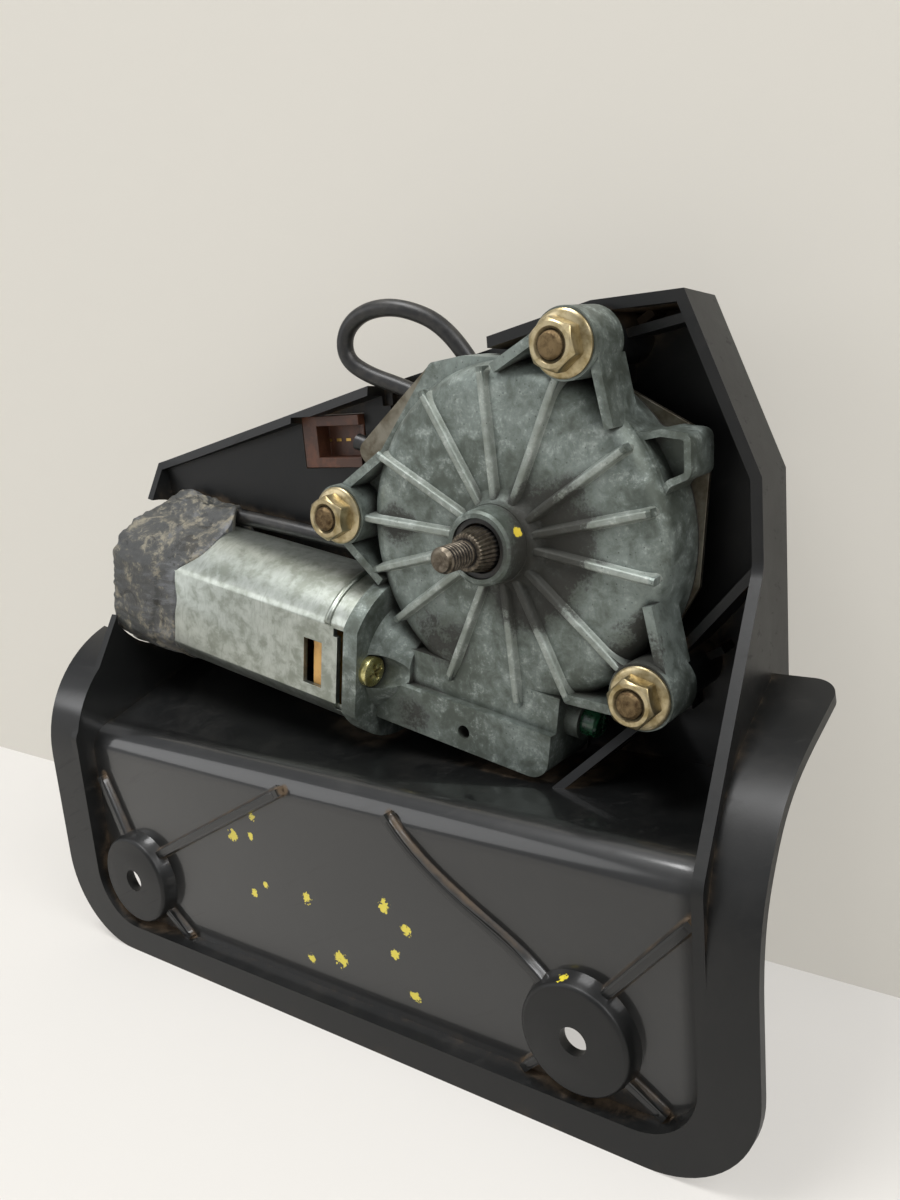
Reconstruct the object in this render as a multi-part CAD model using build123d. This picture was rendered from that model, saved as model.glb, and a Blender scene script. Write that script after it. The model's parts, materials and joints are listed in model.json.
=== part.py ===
"""Tailgate wiper motor on its moulded carrier: worm gearbox, flatted motor, bracket, loom.

Frame: origin on the spindle axis at the front rim of the gearbox hub. +X is to the right,
+Y runs back along the spindle, away from the side that the spindle points to, +Z is up.
All sizes are millimetres. "Front" is the -Y side.
"""
from build123d import *
import os
from math import atan, atan2, cos, degrees, hypot, pi, radians, sin, tan

# ---------------------------------------------------------------- driving sizes
# Gearbox disc and hub
DISC_R = 40.3            # skirt radius at the back of the casting
DISC_FACE_Y = 9.2        # front face between the ribs
SHOULDER_R = 6.0         # rounding between front face and skirt
CAST_BACK_Y = 25.3       # joint face with the cover
CAST_WALL = 2.6
FACE_WALL = 2.2
HUB_R = 8.5
HUB_ROOT_R = 9.3
HUB_RECESS_R = 6.9
HUB_RECESS_Y = 2.4
RIB_W = 1.8
RIB_H = 1.5
RIB_ANGLES = (10.8, 32.0, 92.5, 118.5, 149.0, 192.5, 212.5, 242.5, 272.5, 293.5, 349.6)

# Ears that carry the gearbox
EAR_CIRCLE_R = 47.0
EAR_ANGLES = (63.7, 173.5, 317.2)
EAR_FRONT_Y = 7.0
EAR_BACK_Y = 18.5
EAR_R = 7.6
EAR_ARM_W = 2.2
LOBE_FRONT_Y = 14.0
LOBE_WALL = 1.5
LOBE_DEPTH = 4.8
EAR_ARM_SPREAD = 24.0    # degrees to each side where an arm meets the skirt
EAR_BORE_R = 4.6

# Output spindle and wheel
SPINDLE_R = 5.0
KNURL_R = 5.2
KNURL_TOP_R = 4.3
KNURL_FRONT_Y = -4.6
THREAD_R = 3.0           # M6
SPINDLE_TIP_Y = -13.5
RUN_FIT = 0.03           # radial running fit of shafts in sintered bushes
BUSH_R = 7.0
WHEEL_TEETH = 60
WORM_STARTS = 1
AXIS_DISTANCE = 39.5     # spindle axis to motor axis
WORM_PITCH_R = 4.4
WHEEL_W = 7.0
WHEEL_FRONT_Y = 13.4
TOOTH_FILL = 0.36        # tooth thickness over pitch at the pitch line, the rest is play
WHEEL_SKEW = -1          # the back of each tooth leans away from the plug
WHEEL_PHASE = -1.18      # degrees that set a tooth in a gap of the thread
WORM_U = (-9.32, 9.4)    # ends of the worm along the motor axis
WORM_FILL = 0.36
FINGERS = ((-11.0, -13.0, -21.5), (0.0, -19.5, -11.3), (11.0, -13.0, -22.5))   # x, root z, contact z

# Motor axis
AXIS_SLOPE = 10.15       # degrees that the motor axis drops toward the plug
AXIS_Y = 17.0
CAN_HALF_TALL = 20.3
CAN_HALF_DEEP = 17.3
CAN_WALL = 1.5
CAN_LEFT_U = -127.5
CAN_RIGHT_U = -37.0
FLANGE_T = 4.5
TUNNEL_RIGHT_U = 19.0
TUNNEL_BOTTOM_W = 53.4
TUNNEL_FRONT_Y = 6.8
WORM_BORE_R = 6.3
SHAFT_R = 3.0
PLUG_R = 3.6
DRIVE_BUSH_R = 7.4
DRIVE_BUSH_U = (-34.0, -27.5)
SCREW_OFFSETS = (-13.6, 13.6)   # the flange screws, in depth from the motor axis
CAN_WINDOW_U = (-51.6, -45.4)
MAGNET_U = (-108.0, -62.0)
ARMATURE_SLOTS = 12
BRUSH_U = -50.4
TAPE_T = 1.2
TAPE_LEFT_U = -129.9
TAPE_RIGHT_U = -100.5
ARMATURE_R = 13.2
MAGNET_T = 4.85
MAGNET_GAP = 0.7

# Carrier
RIM_Y = -21.0            # front of the mounting rim
RIM_T = 2.4
PANEL_Y = -16.0          # front of the recessed lower panel
WALL = 2.5
TUB_FRONT_Y = 21.0       # front edge of the upper walls
BACK_Y = 36.0            # front of the back wall
DRAFT = 5.0              # degrees
RIM_RIGHT_X = 70.3
RIM_LEFT_X = -148.9
RIM_BOTTOM_Z = -122.8
RIM_TOP_Z = -78.0        # the wings carry on above
RIM_CORNER_R = 25.0
WING_TIP_R = 5.5
WING_END_Y = 27.0
RECESS_BOTTOM_Z = -113.6
TUB_CORNER_R = 14.0
TUB_RIGHT_X = 56.4       # outer wall at TUB_FRONT_Y
TUB_LEFT_X = -134.0
PLATE_LEFT_Y = 24.0      # front of the upper left plate at the left wall
PLATE_RIGHT_X = -49.0    # where that plate steps back behind the gearbox
PLATE_RIGHT_Y = 33.4
SHELF_Z = -56.0
SHELF_ROUND = 8.0
SHELF_GAP = 3.2          # room between the motor and the back of the shelf
SHELF_BEND_X = -38.0     # right of here the shelf stops following the motor
BOSS_SPACING = 148.0
BOSS_MID_X = -44.7
BOSS_Z = -99.7
BOSS_FACE_R = 12.9
BOSS_BASE_R = 14.6
BOSS_FACE_Y = -20.4
BOSS_HOLE_R = 3.3
RIB_PROUD = 2.0          # height and width of the ribs on the lower panel
POST_R = 6.0
ISOLATOR_T = 1.8

# Fasteners
M6_R = 3.0
NUT_AF = 10.0
NUT_FLANGE_R = 7.1
NUT_FLANGE_T = 1.3
NUT_H = 5.6
STUD_TIP_Y = 0.6
SCREW_HEAD_R = 4.0
SCREW_HEAD_T = 2.4
M4_R = 2.0

# Loom
CABLE_D = 4.4
CONNECTOR_WINDOW = (-68.6, 21.2, 21.4, 14.6)    # centre x, centre z, width, height
CABLE_NOTCH = (-51.5, -8.0, 30.0)               # left x, right x, bottom z
# Corners of the cable's centre line, from under the tape to the connector
CABLE_ROUTE = (
    (-113.0, 15.0, 4.6), (-98.0, 16.0, 4.2), (-72.0, 20.0, 1.6), (-56.0, 28.6, -8.0), (-32.0, 31.0, -6.5),
    (-17.0, 32.1, 10.0), (-15.5, 32.1, 31.0), (-26.0, 30.8, 48.5), (-38.0, 28.0, 54.6), (-49.5, 27.2, 54.6),
    (-57.0, 27.2, 50.0), (-58.0, 27.6, 43.0), (-52.0, 28.8, 38.5), (-41.5, 30.4, 34.6), (-30.0, 31.0, 29.6),
    (-24.6, 31.5, 22.0), (-27.0, 31.8, 14.6), (-35.0, 32.0, 12.8), (-46.0, 31.4, 16.8), (-58.6, 29.6, 21.2),
)

# ---------------------------------------------------------------- derived places
SLOPE = radians(AXIS_SLOPE)
AXIS_DIR = Vector(cos(SLOPE), 0, -sin(SLOPE))
AWAY_DIR = Vector(-sin(SLOPE), 0, -cos(SLOPE))
AXIS_POINT = Vector(0, AXIS_Y, 0) + AWAY_DIR * AXIS_DISTANCE
MOTOR_FRAME = Location(Plane(origin=AXIS_POINT, x_dir=AWAY_DIR, z_dir=AXIS_DIR))
WHEEL_PITCH_R = AXIS_DISTANCE - WORM_PITCH_R
MODULE = 2 * WHEEL_PITCH_R / WHEEL_TEETH
LEAD = pi * MODULE * WORM_STARTS
WORM_TIP_R = WORM_PITCH_R + 0.8 * MODULE
WORM_ROOT_R = WORM_PITCH_R - 1.05 * MODULE
WHEEL_TIP_R = WHEEL_PITCH_R + 0.8 * MODULE
WHEEL_ROOT_R = WHEEL_PITCH_R - 1.05 * MODULE
WHEEL_BACK_Y = WHEEL_FRONT_Y + WHEEL_W
CLIP_Y = (WHEEL_BACK_Y + 0.1, WHEEL_BACK_Y + 1.1)
CAVITY_R = DISC_R - CAST_WALL - 0.3
CAVITY_FRONT_Y = DISC_FACE_Y + FACE_WALL
GASKET_T = 0.6
COVER_T = 1.3
COVER_Y = CAST_BACK_Y + GASKET_T
POST_FRONT_Y = EAR_BACK_Y + ISOLATOR_T
MAGNET_IN_R = ARMATURE_R + MAGNET_GAP
MAGNET_OUT_R = MAGNET_IN_R + MAGNET_T
BRUSH_PLATE_U = (-47.6, -44.2)
COMM_U = (-57.0, -47.9)
COMM_R = 7.0
STACK_U = (-105.0, -66.0)
WINDING_U = (-111.0, -59.5)


def ear_spots():
    """Return the x, z centres of the three ears."""
    return [(EAR_CIRCLE_R * cos(radians(a)), EAR_CIRCLE_R * sin(radians(a))) for a in EAR_ANGLES]


def front(shape):
    """Stand a shape drawn face-up so that its local Z points to the front."""
    return Rot(90, 0, 0) * shape


def slab(sketch, y0, y1):
    """Extrude an x, z sketch between two depths."""
    return front(Pos(0, 0, -y1) * extrude(sketch, y1 - y0))


def disc(r, y0, y1, x=0.0, z=0.0):
    """Solid cylinder along Y."""
    return Pos(x, (y0 + y1) / 2, z) * Rot(90, 0, 0) * Cylinder(r, y1 - y0)


def ring(ro, ri, y0, y1, x=0.0, z=0.0):
    """Hollow cylinder along Y."""
    return disc(ro, y0, y1, x, z) - disc(ri, y0 - 1, y1 + 1, x, z)


def spin(points):
    """Revolve a (radius, depth) outline about the spindle axis."""
    outline = make_face(Polyline(*[(r, -y) for r, y in points], close=True))
    return front(revolve(Plane.XZ * outline, Axis.Z))


def on_motor(shape):
    """Place a shape drawn about local Z: x away from the spindle, y back, z toward the plug."""
    return MOTOR_FRAME * shape


def rod(r, u0, u1, x=0.0, y=0.0):
    """Solid cylinder along the motor axis, in the motor's own frame."""
    return Pos(x, y, (u0 + u1) / 2) * Cylinder(r, u1 - u0)


def tube(ro, ri, u0, u1, x=0.0, y=0.0):
    """Hollow cylinder along the motor axis, in the motor's own frame."""
    return rod(ro, u0, u1, x, y) - rod(ri, u0 - 1, u1 + 1, x, y)


def flatted(half_tall, half_deep, u0, u1):
    """Round bar with two flats, front and back, in the motor's own frame."""
    body = rod(half_tall, u0, u1)
    return body & (Pos(0, 0, (u0 + u1) / 2) * Box(3 * half_tall, 2 * half_deep, u1 - u0))


# ---------------------------------------------------------------- carrier
def tub_outline(grow):
    """Front view of the carrier's walls at TUB_FRONT_Y, grown outward by grow."""
    points = [
        (TUB_RIGHT_X, RECESS_BOTTOM_Z),
        (TUB_RIGHT_X, 12.8),
        (41.0, 51.0),
        (19.6, 50.6),
        (-44.0, 38.0),
        (TUB_LEFT_X - 2.0, 16.9),
        (TUB_LEFT_X, -20.0),
        (TUB_LEFT_X, RECESS_BOTTOM_Z),
    ]
    outline = make_face(Polyline(*points, close=True))
    outline = fillet(outline.vertices().sort_by(Axis.Y)[:2], TUB_CORNER_R)
    return offset(outline, grow, kind=Kind.INTERSECTION) if grow else outline


def tub_prism(inset, back):
    """Drafted block inside the tub outline, from the rim plane to a depth."""
    grow = tan(radians(DRAFT)) * (TUB_FRONT_Y - RIM_Y) - inset
    face = tub_outline(grow)
    return front(Pos(0, 0, -RIM_Y) * extrude(face, back - RIM_Y, dir=(0, 0, -1), taper=DRAFT))


def under_shelf(drop):
    """Everything below the shelf and behind the lower panel, sunk by drop."""
    def section(x, back_z):
        y0 = PANEL_Y + drop
        z0 = SHELF_Z - drop
        r = SHELF_ROUND - drop
        back = BACK_Y + 20
        slope = (back_z - SHELF_Z) / (BACK_Y - PANEL_Y)
        z1 = z0 + slope * (back - y0)
        edge = Polyline((y0, -140), (y0, z0 - r)) + ThreePointArc(
            (y0, z0 - r), (y0 + r * (1 - cos(pi / 4)), z0 - r + r * sin(pi / 4)), (y0 + r, z0))
        edge += Polyline((y0 + r, z0), (back, z1), (back, -140), (y0, -140))
        return Plane(origin=(x, 0, 0), x_dir=(0, 1, 0), z_dir=(1, 0, 0)) * make_face(edge)

    def back_z(x):
        low = AXIS_DISTANCE + CAN_HALF_TALL + SHELF_GAP
        return -(low + x * sin(SLOPE)) / cos(SLOPE)

    x0, x1, x2 = TUB_LEFT_X - 20, SHELF_BEND_X, TUB_RIGHT_X + 20
    return loft([section(x0, back_z(x0)), section(x1, back_z(x1)), section(x2, back_z(x1) - 1)], ruled=True)


def in_front_of_walls():
    """Room in front of the walls' stepped front edge, seen from the side."""
    right = FilletPolyline((TUB_FRONT_Y, 70), (TUB_FRONT_Y, -6), (RIM_Y, -57), (RIM_Y, -61), radius=6)
    left = FilletPolyline((PLATE_LEFT_Y + 12, 70), (PLATE_LEFT_Y - 0.5, 17.5), (RIM_Y, -58), (RIM_Y, -62),
                          radius=4)
    cuts = []
    for edge, x0, x1 in ((left, RIM_LEFT_X - 10, SHELF_BEND_X), (right, SHELF_BEND_X, RIM_RIGHT_X + 10)):
        near, far = edge @ 0, edge @ 1
        outline = edge + Polyline((far.X, far.Y), (RIM_Y - 20, far.Y), (RIM_Y - 20, 70), (near.X, 70))
        side = Plane(origin=(x0, 0, 0), x_dir=(0, 1, 0), z_dir=(1, 0, 0))
        cuts.append(extrude(side * make_face(outline), x1 - x0))
    return cuts


def plate_block(sink):
    """Room behind the upper left plate's front, above the motor, shrunk on all sides by sink."""
    y0, y1 = PLATE_LEFT_Y + sink, PLATE_RIGHT_Y + sink
    x0, x1 = TUB_LEFT_X - 20, PLATE_RIGHT_X - sink
    slope = (y1 - y0) / (PLATE_RIGHT_X - TUB_LEFT_X)
    plan = make_face(Polyline((x0, y0 - 20 * slope), (x1, y1 - sink * slope), (x1, 70), (x0, 70), close=True))
    low = CAN_HALF_TALL - AXIS_DISTANCE + 3.0 + sink
    bottom = make_face(Polyline(
        at_uw(-160, -low), at_uw(-20, -low), (-20, 90), (-180, 90), close=True))
    return extrude(Plane.XY.offset(-40) * plan, 160) & slab(bottom, 0, 80)


def rim_ring():
    """Flat rim round the lower panel, open at the top where the wings begin."""
    sheet = Pos((RIM_LEFT_X + RIM_RIGHT_X) / 2, (RIM_TOP_Z + RIM_BOTTOM_Z) / 2)
    sheet *= Rectangle(RIM_RIGHT_X - RIM_LEFT_X, RIM_TOP_Z - RIM_BOTTOM_Z)
    sheet = fillet(sheet.vertices().sort_by(Axis.Y)[:2], RIM_CORNER_R)
    return slab(sheet, RIM_Y, RIM_Y + RIM_T)


def wing(x0, x1, path, outer_x):
    """Flange that leaves the rim and curls back along the outside of a wall."""
    side = Plane(origin=(x0, 0, 0), x_dir=(0, 1, 0), z_dir=(1, 0, 0))
    flange = extrude(side * trace(path, RIM_T), x1 - x0)
    tip = flange.edges().filter_by(lambda e: e.length < RIM_T + 0.2).group_by(Axis.Y)[-1]
    return fillet(tip.sort_by_distance((outer_x, WING_END_Y, -30))[0], WING_TIP_R)


def bar(x0, z0, x1, z1, y0, y1, width):
    """Straight upright web between two points of the front view."""
    length = hypot(x1 - x0, z1 - z0)
    angle = degrees(atan2(z1 - z0, x1 - x0))
    sketch = Pos((x0 + x1) / 2, (z0 + z1) / 2) * Rot(0, 0, angle) * Rectangle(length, width)
    return slab(sketch, y0, y1)


def boss_spots():
    """Return the x, z centres of the two mounting bosses."""
    return [(BOSS_MID_X - BOSS_SPACING / 2, BOSS_Z), (BOSS_MID_X + BOSS_SPACING / 2, BOSS_Z)]


def hat_boss(x, z):
    """Raised hat with a rounded brim, standing on the lower panel."""
    height = PANEL_Y - BOSS_FACE_Y + WALL
    hat = Pos(0, 0, height / 2) * Cone(BOSS_BASE_R, BOSS_FACE_R, height)
    hat = fillet(hat.edges().sort_by(Axis.Z)[-1], 1.2)
    return Pos(x, PANEL_Y + WALL, z) * front(hat)


def bracket():
    """Moulded carrier: tub, lower panel, rim with wings, bosses, posts and ribs."""
    plate = plate_block(0)
    cavity = tub_prism(WALL, BACK_Y) - under_shelf(0) - plate
    shell = tub_prism(0, BACK_Y + WALL) - under_shelf(WALL) - plate_block(WALL)
    for cut in in_front_of_walls():
        shell -= cut
    body = shell + rim_ring()
    y0 = RIM_Y + RIM_T / 2
    right = Spline((y0, RIM_TOP_Z), (y0 + 0.6, -69.5), (-17.3, -61.5), (-12.9, -53.1), (-7.3, -46.1),
                   (-0.4, -41.1), (12.3, -35.9), (WING_END_Y, -31.0), tangents=((0, 1), (3, 1)))
    left = FilletPolyline((y0, RIM_TOP_Z), (y0, -39.5), (WING_END_Y - 1, -26.0), radius=34)
    body += wing(TUB_RIGHT_X - 4, RIM_RIGHT_X, right, RIM_RIGHT_X)
    body += wing(RIM_LEFT_X, TUB_LEFT_X + 4, left, RIM_LEFT_X)
    body = body - cavity + hat_bosses() + panel_ribs()
    body += ear_posts() & (tub_prism(WALL / 2, BACK_Y + WALL / 2) - under_shelf(WALL / 2))
    for x, z in boss_spots():
        body -= disc(BOSS_FACE_R - 2.6, BOSS_FACE_Y + WALL, PANEL_Y + WALL + 5, x, z)
        body -= disc(BOSS_HOLE_R, BOSS_FACE_Y - 5, PANEL_Y + 5, x, z)
    for x, z in ear_spots():
        body -= disc(M6_R, POST_FRONT_Y - 1, BACK_Y - 3, x, z)
    body -= on_motor(flatted(CAN_HALF_TALL + 1.8, CAN_HALF_DEEP + 1.4, CAN_LEFT_U - 22, CAN_LEFT_U + 16))
    wx, wz, ww, wh = CONNECTOR_WINDOW
    body -= Pos(wx, BACK_Y - 4, wz) * Box(ww, 24, wh)
    x0, x1, z0 = CABLE_NOTCH
    return body - Pos((x0 + x1) / 2, BACK_Y - 1.6 - 15, z0 + 20) * Box(x1 - x0, 30, 40)


def hat_bosses():
    """Both mounting bosses."""
    (lx, lz), (rx, rz) = boss_spots()
    return hat_boss(lx, lz) + hat_boss(rx, rz)


def panel_ribs():
    """Low ribs that run from the bosses over the lower panel."""
    (lx, lz), (rx, rz) = boss_spots()
    straight = [
        (lx + 8.5, lz + 8.5, -55.0, -61.0), (lx, lz, -131.5, -70.5), (lx, lz, -100.0, -114.5),
        (rx + 5, rz + 9.5, 56.0, -66.5), (rx, rz, 48.5, -112.5), (rx, rz, 14.0, -113.5),
    ]
    ribs = [bar(x0, z0, x1, z1, PANEL_Y - RIB_PROUD, PANEL_Y + 1, RIB_PROUD) for x0, z0, x1, z1 in straight]
    bend = Spline((rx - 6, rz + 6), (15.0, -85.7), (2.3, -78.4), (-10.9, -69.8), (-20.3, -60.0))
    ribs.append(slab(trace(bend, RIB_PROUD), PANEL_Y - RIB_PROUD, PANEL_Y + 1))
    return Compound(ribs)


def web(x0, z0, x1, z1, front0, front1):
    """Plate up from the back wall whose front edge slopes from depth front0 to front1."""
    length = hypot(x1 - x0, z1 - z0)
    dx, dz = (x1 - x0) / length, (z1 - z0) / length
    plane = Plane(origin=(x0, 0, z0), x_dir=(dx, 0, dz), z_dir=(-dz, 0, dx))
    side = make_face(Polyline(
        (0, front0), (length, front1), (length, BACK_Y + 1), (0, BACK_Y + 1), close=True))
    return extrude(plane * side, 1.0, both=True)


def ear_posts():
    """Posts with webs behind the three ears, and gussets from two of them to the walls."""
    posts = []
    for x, z in ear_spots():
        posts.append(disc(POST_R, POST_FRONT_Y, BACK_Y + 1, x, z))
        for a in (30, 150, 270):
            end_x, end_z = x + 10 * cos(radians(a)), z + 10 * sin(radians(a))
            posts.append(bar(x, z, end_x, end_z, BACK_Y - 6, BACK_Y + 1, 1.8))
    low_x, low_z = ear_spots()[2]
    top_x, top_z = ear_spots()[0]
    posts.append(bar(low_x - 1.6, low_z + 2, TUB_RIGHT_X - 1, -5.5, POST_FRONT_Y + 1, BACK_Y + 1, 2.0))
    posts.append(web(low_x - 1, low_z - 5.6, 12.0, -57.0, POST_FRONT_Y + 1, 6.0))
    posts.append(bar(top_x, top_z, 44.0, 46.0, POST_FRONT_Y + 3, BACK_Y + 1, 2.0))
    return posts[0].fuse(*posts[1:])


def mounting_studs():
    """Three M6 studs, their knurled heads moulded into the posts."""
    studs = []
    for x, z in ear_spots():
        stud = disc(M6_R, STUD_TIP_Y, BACK_Y - 3, x, z)
        studs.append(chamfer(stud.edges().sort_by(Axis.Y)[0], 0.6))
    return Compound(studs)


def flange_nuts():
    """Three M6 nuts, each a hexagon on a round flange."""
    nuts = []
    for x, z in ear_spots():
        flange = disc(NUT_FLANGE_R, EAR_FRONT_Y - NUT_FLANGE_T, EAR_FRONT_Y, x, z)
        hexagon = Pos(x, z) * Rot(0, 0, 12) * RegularPolygon(NUT_AF / 2, 6, major_radius=False)
        nut = flange + slab(hexagon, EAR_FRONT_Y - NUT_H, EAR_FRONT_Y - NUT_FLANGE_T)
        nuts.append(nut - disc(M6_R, -5, EAR_FRONT_Y + 5, x, z))
    return Compound(nuts)


def ear_sleeves():
    """Steel spacer in each ear that takes the nut's clamping load."""
    return Compound([ring(EAR_BORE_R, M6_R + 0.3, EAR_FRONT_Y, EAR_BACK_Y, x, z) for x, z in ear_spots()])


def isolators():
    """Rubber ring between each ear and its post."""
    return Compound([ring(POST_R, M6_R + 0.3, EAR_BACK_Y, POST_FRONT_Y, x, z) for x, z in ear_spots()])


# ---------------------------------------------------------------- gearbox casting
def at_uw(u, w):
    """Front-view point at u along the motor axis and w away from the spindle."""
    return (u * cos(SLOPE) - w * sin(SLOPE), -u * sin(SLOPE) - w * cos(SLOPE))


def around_posts(face):
    """Notch an outline round the three posts."""
    for x, z in ear_spots():
        face -= Pos(x, z) * Circle(POST_R + 0.9)
    return face


def cover_outline():
    """Many-sided outline of the steel cover."""
    points = [
        (44.0, 20.6), (9.3, 40.6), (-29.0, 40.0), (-56.0, 19.4), (-41.0, 0.0),
        at_uw(-35.6, 17.5), at_uw(-31.8, 19.2), at_uw(-31.8, 23.5), at_uw(-29.4, 30.0),
        at_uw(-29.4, TUNNEL_BOTTOM_W), at_uw(TUNNEL_RIGHT_U, TUNNEL_BOTTOM_W),
        at_uw(TUNNEL_RIGHT_U, 38), (30.0, -28.0), (40.0, -12.0),
    ]
    face = make_face(Polyline(*points, close=True))
    corners = [v for v in face.vertices() if v.Y > 5 or v.Y < -44]
    return around_posts(fillet(corners, 3.0))


def joint_outline():
    """Back face of the casting: disc, faceted corner, screw lobe and worm tunnel."""
    tunnel_face = make_face(Polyline(
        at_uw(-29.4, 25), at_uw(-29.4, TUNNEL_BOTTOM_W), at_uw(TUNNEL_RIGHT_U, TUNNEL_BOTTOM_W),
        at_uw(TUNNEL_RIGHT_U, 30), close=True))
    return around_posts(Circle(DISC_R) + faceted_corner() + lobe_outline() + tunnel_face)


def faceted_corner():
    """Front view of the casting's flat-sided corner."""
    corner = make_face(Polyline(
        (0, 20), (0, 40.2), (-11.0, 41.4), (-20.6, 40.4), (-44.0, 13.6), (-39.5, 7.0), (-20, 0), close=True))
    return fillet([v for v in corner.vertices() if v.Y > 10 and v.X < -5], 2.2)


def lobe_outline():
    """Front view of the thin-walled lobe round the upper right cover screw."""
    edge = FilletPolyline((25.0, 30.0), (33.6, 22.9), (38.0, 23.6), (44.6, 22.6), (44.4, 13.6), (39.6, 11.8),
                          (36.0, 6.0), radius=2.1)
    return make_face(edge + Polyline((36.0, 6.0), (20, 10), (25.0, 30.0)))


def cover_screw_spots():
    """Return the x, z centres of the cover's screws."""
    return [(39.6, 17.8), (-18.6, 35.6), (-37.6, 14.6), at_uw(-24, 49.4), at_uw(13.5, 49.4)]


def gear_housing():
    """Die-cast gearbox: ribbed disc, hub, worm tunnel, motor flange, ears and cover joint."""
    outline = make_face(Polyline(
        (0, -DISC_FACE_Y), (DISC_R - 0.5, -DISC_FACE_Y), (DISC_R, -CAST_BACK_Y), (0, -CAST_BACK_Y),
        close=True))
    edge = [v for v in outline.vertices() if v.X > 1 and v.Y > -CAST_BACK_Y + 1]
    outline = fillet(edge, SHOULDER_R)
    body = front(revolve(Plane.XZ * outline, Axis.Z))
    hub = spin([(0, 0), (HUB_R - 0.6, 0), (HUB_R, 0.6), (HUB_ROOT_R, DISC_FACE_Y + 1), (0, DISC_FACE_Y + 1)])
    for a in RIB_ANGLES:
        body += rib(a, DISC_R - 1.4)
    for a, (x, z) in zip(EAR_ANGLES, ear_spots()):
        body += rib(a, EAR_CIRCLE_R - 4)
        body += ear(a, x, z)
    body += slab(around_posts(faceted_corner()), DISC_FACE_Y + 6.0, CAST_BACK_Y)
    body += slab(lobe_outline(), LOBE_FRONT_Y, CAST_BACK_Y)
    body += on_motor(tunnel() + motor_flange())
    body += hub
    pocket = offset(lobe_outline(), -LOBE_WALL) - Circle(DISC_R + 0.2)
    body -= slab(pocket, LOBE_FRONT_Y - 1, LOBE_FRONT_Y + LOBE_DEPTH)
    body -= disc(CAVITY_R, CAVITY_FRONT_Y, CAST_BACK_Y + 1)
    body += ring(BUSH_R + 2.0, BUSH_R, CAVITY_FRONT_Y - 1, CAVITY_FRONT_Y + 0.6)
    body -= disc(BUSH_R, HUB_RECESS_Y, CAST_BACK_Y)
    body -= disc(HUB_RECESS_R, -1, HUB_RECESS_Y + 0.1)
    body -= on_motor(rod(WORM_BORE_R, CAN_RIGHT_U + 2, TUNNEL_RIGHT_U - 3))
    body -= on_motor(rod(PLUG_R, TUNNEL_RIGHT_U - 4, TUNNEL_RIGHT_U + 10))
    body -= on_motor(rod(DRIVE_BUSH_R, DRIVE_BUSH_U[0] - 9, DRIVE_BUSH_U[1]))
    spigot = flatted(CAN_HALF_TALL - CAN_WALL, CAN_HALF_DEEP - CAN_WALL, CAN_RIGHT_U - 1, CAN_RIGHT_U + 2.2)
    body -= on_motor(spigot)
    for y in SCREW_OFFSETS:
        seat = CAN_RIGHT_U + FLANGE_T
        body -= on_motor(rod(SCREW_HEAD_R + 0.5, seat, seat + 14, y=y))
        body -= on_motor(rod(M4_R, CAN_RIGHT_U - 1, CAN_RIGHT_U + FLANGE_T + 1, y=y))
    for x, z in ear_spots():
        body -= disc(EAR_BORE_R, EAR_FRONT_Y - 1, EAR_BACK_Y + 1, x, z)
    for x, z in cover_screw_spots():
        body -= disc(M4_R, CAST_BACK_Y - 6, CAST_BACK_Y + 1, x, z)
    hx, hz = at_uw(-5.0, 48.6)
    body -= disc(1.7, TUNNEL_FRONT_Y - 1, TUNNEL_FRONT_Y + 7, hx, hz)
    return body


def rib(angle, reach):
    """Round-crested rib across the disc face from the hub outward."""
    length = reach - HUB_R + 1
    crest = Pos(HUB_R - 1 + length / 2, 0, 0) * Box(length, RIB_W, 2 * RIB_H)
    crest = chamfer(crest.edges().filter_by(Axis.X).group_by(Axis.Z)[-1], 0.45)
    return Pos(0, DISC_FACE_Y, 0) * front(Rot(0, 0, angle) * crest)


def ear(angle, x, z):
    """Screw lug outside the skirt, held by two thin arms."""
    lug = disc(EAR_R, EAR_FRONT_Y, EAR_BACK_Y, x, z)
    for side in (-1, 1):
        a = radians(angle + side * 90)
        px = x + (EAR_R - EAR_ARM_W / 2) * cos(a)
        pz = z + (EAR_R - EAR_ARM_W / 2) * sin(a)
        b = radians(angle + side * EAR_ARM_SPREAD)
        rx, rz = (DISC_R - 2) * cos(b), (DISC_R - 2) * sin(b)
        lug += bar(px, pz, rx, rz, EAR_FRONT_Y + 1.2, EAR_BACK_Y + 1.5, EAR_ARM_W)
    return lug - disc(POST_R + 0.4, EAR_BACK_Y, EAR_BACK_Y + 3, x, z)


def tunnel():
    """Worm tunnel with its flat ledge and the plug's collar, in the motor's own frame."""
    u0, u1 = CAN_RIGHT_U + 1, TUNNEL_RIGHT_U
    w0, w1 = -6.5, TUNNEL_BOTTOM_W - AXIS_DISTANCE
    y0, y1 = TUNNEL_FRONT_Y - AXIS_Y, CAST_BACK_Y - AXIS_Y
    block = Pos((w0 + w1) / 2, (y0 + y1) / 2, (u0 + u1) / 2) * Box(w1 - w0, y1 - y0, u1 - u0)
    block -= Pos(-4, y0, 0) * Box(12.4, 2 * (DISC_FACE_Y - TUNNEL_FRONT_Y), 200)
    corner = block.edges().filter_by(Axis.Y).sort_by(lambda e: e.center().X + e.center().Z)[-1]
    block = fillet(corner, 5)
    collar = rod(PLUG_R + 1.3, u1 - 1, u1 + 3.5)
    neck = Pos(0, 0, CAN_RIGHT_U + FLANGE_T + 4.5) * Cone(15.5, 9.5, 10)
    neck &= Pos(0, (y1 - 20) / 2 - 3, 0) * Box(60, 20 + y1 + 6, 200)
    return block + collar + neck


def motor_flange():
    """Flatted flange that the motor can bolts to."""
    return flatted(CAN_HALF_TALL + 1.4, CAN_HALF_DEEP + 1.3, CAN_RIGHT_U, CAN_RIGHT_U + FLANGE_T)


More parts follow.
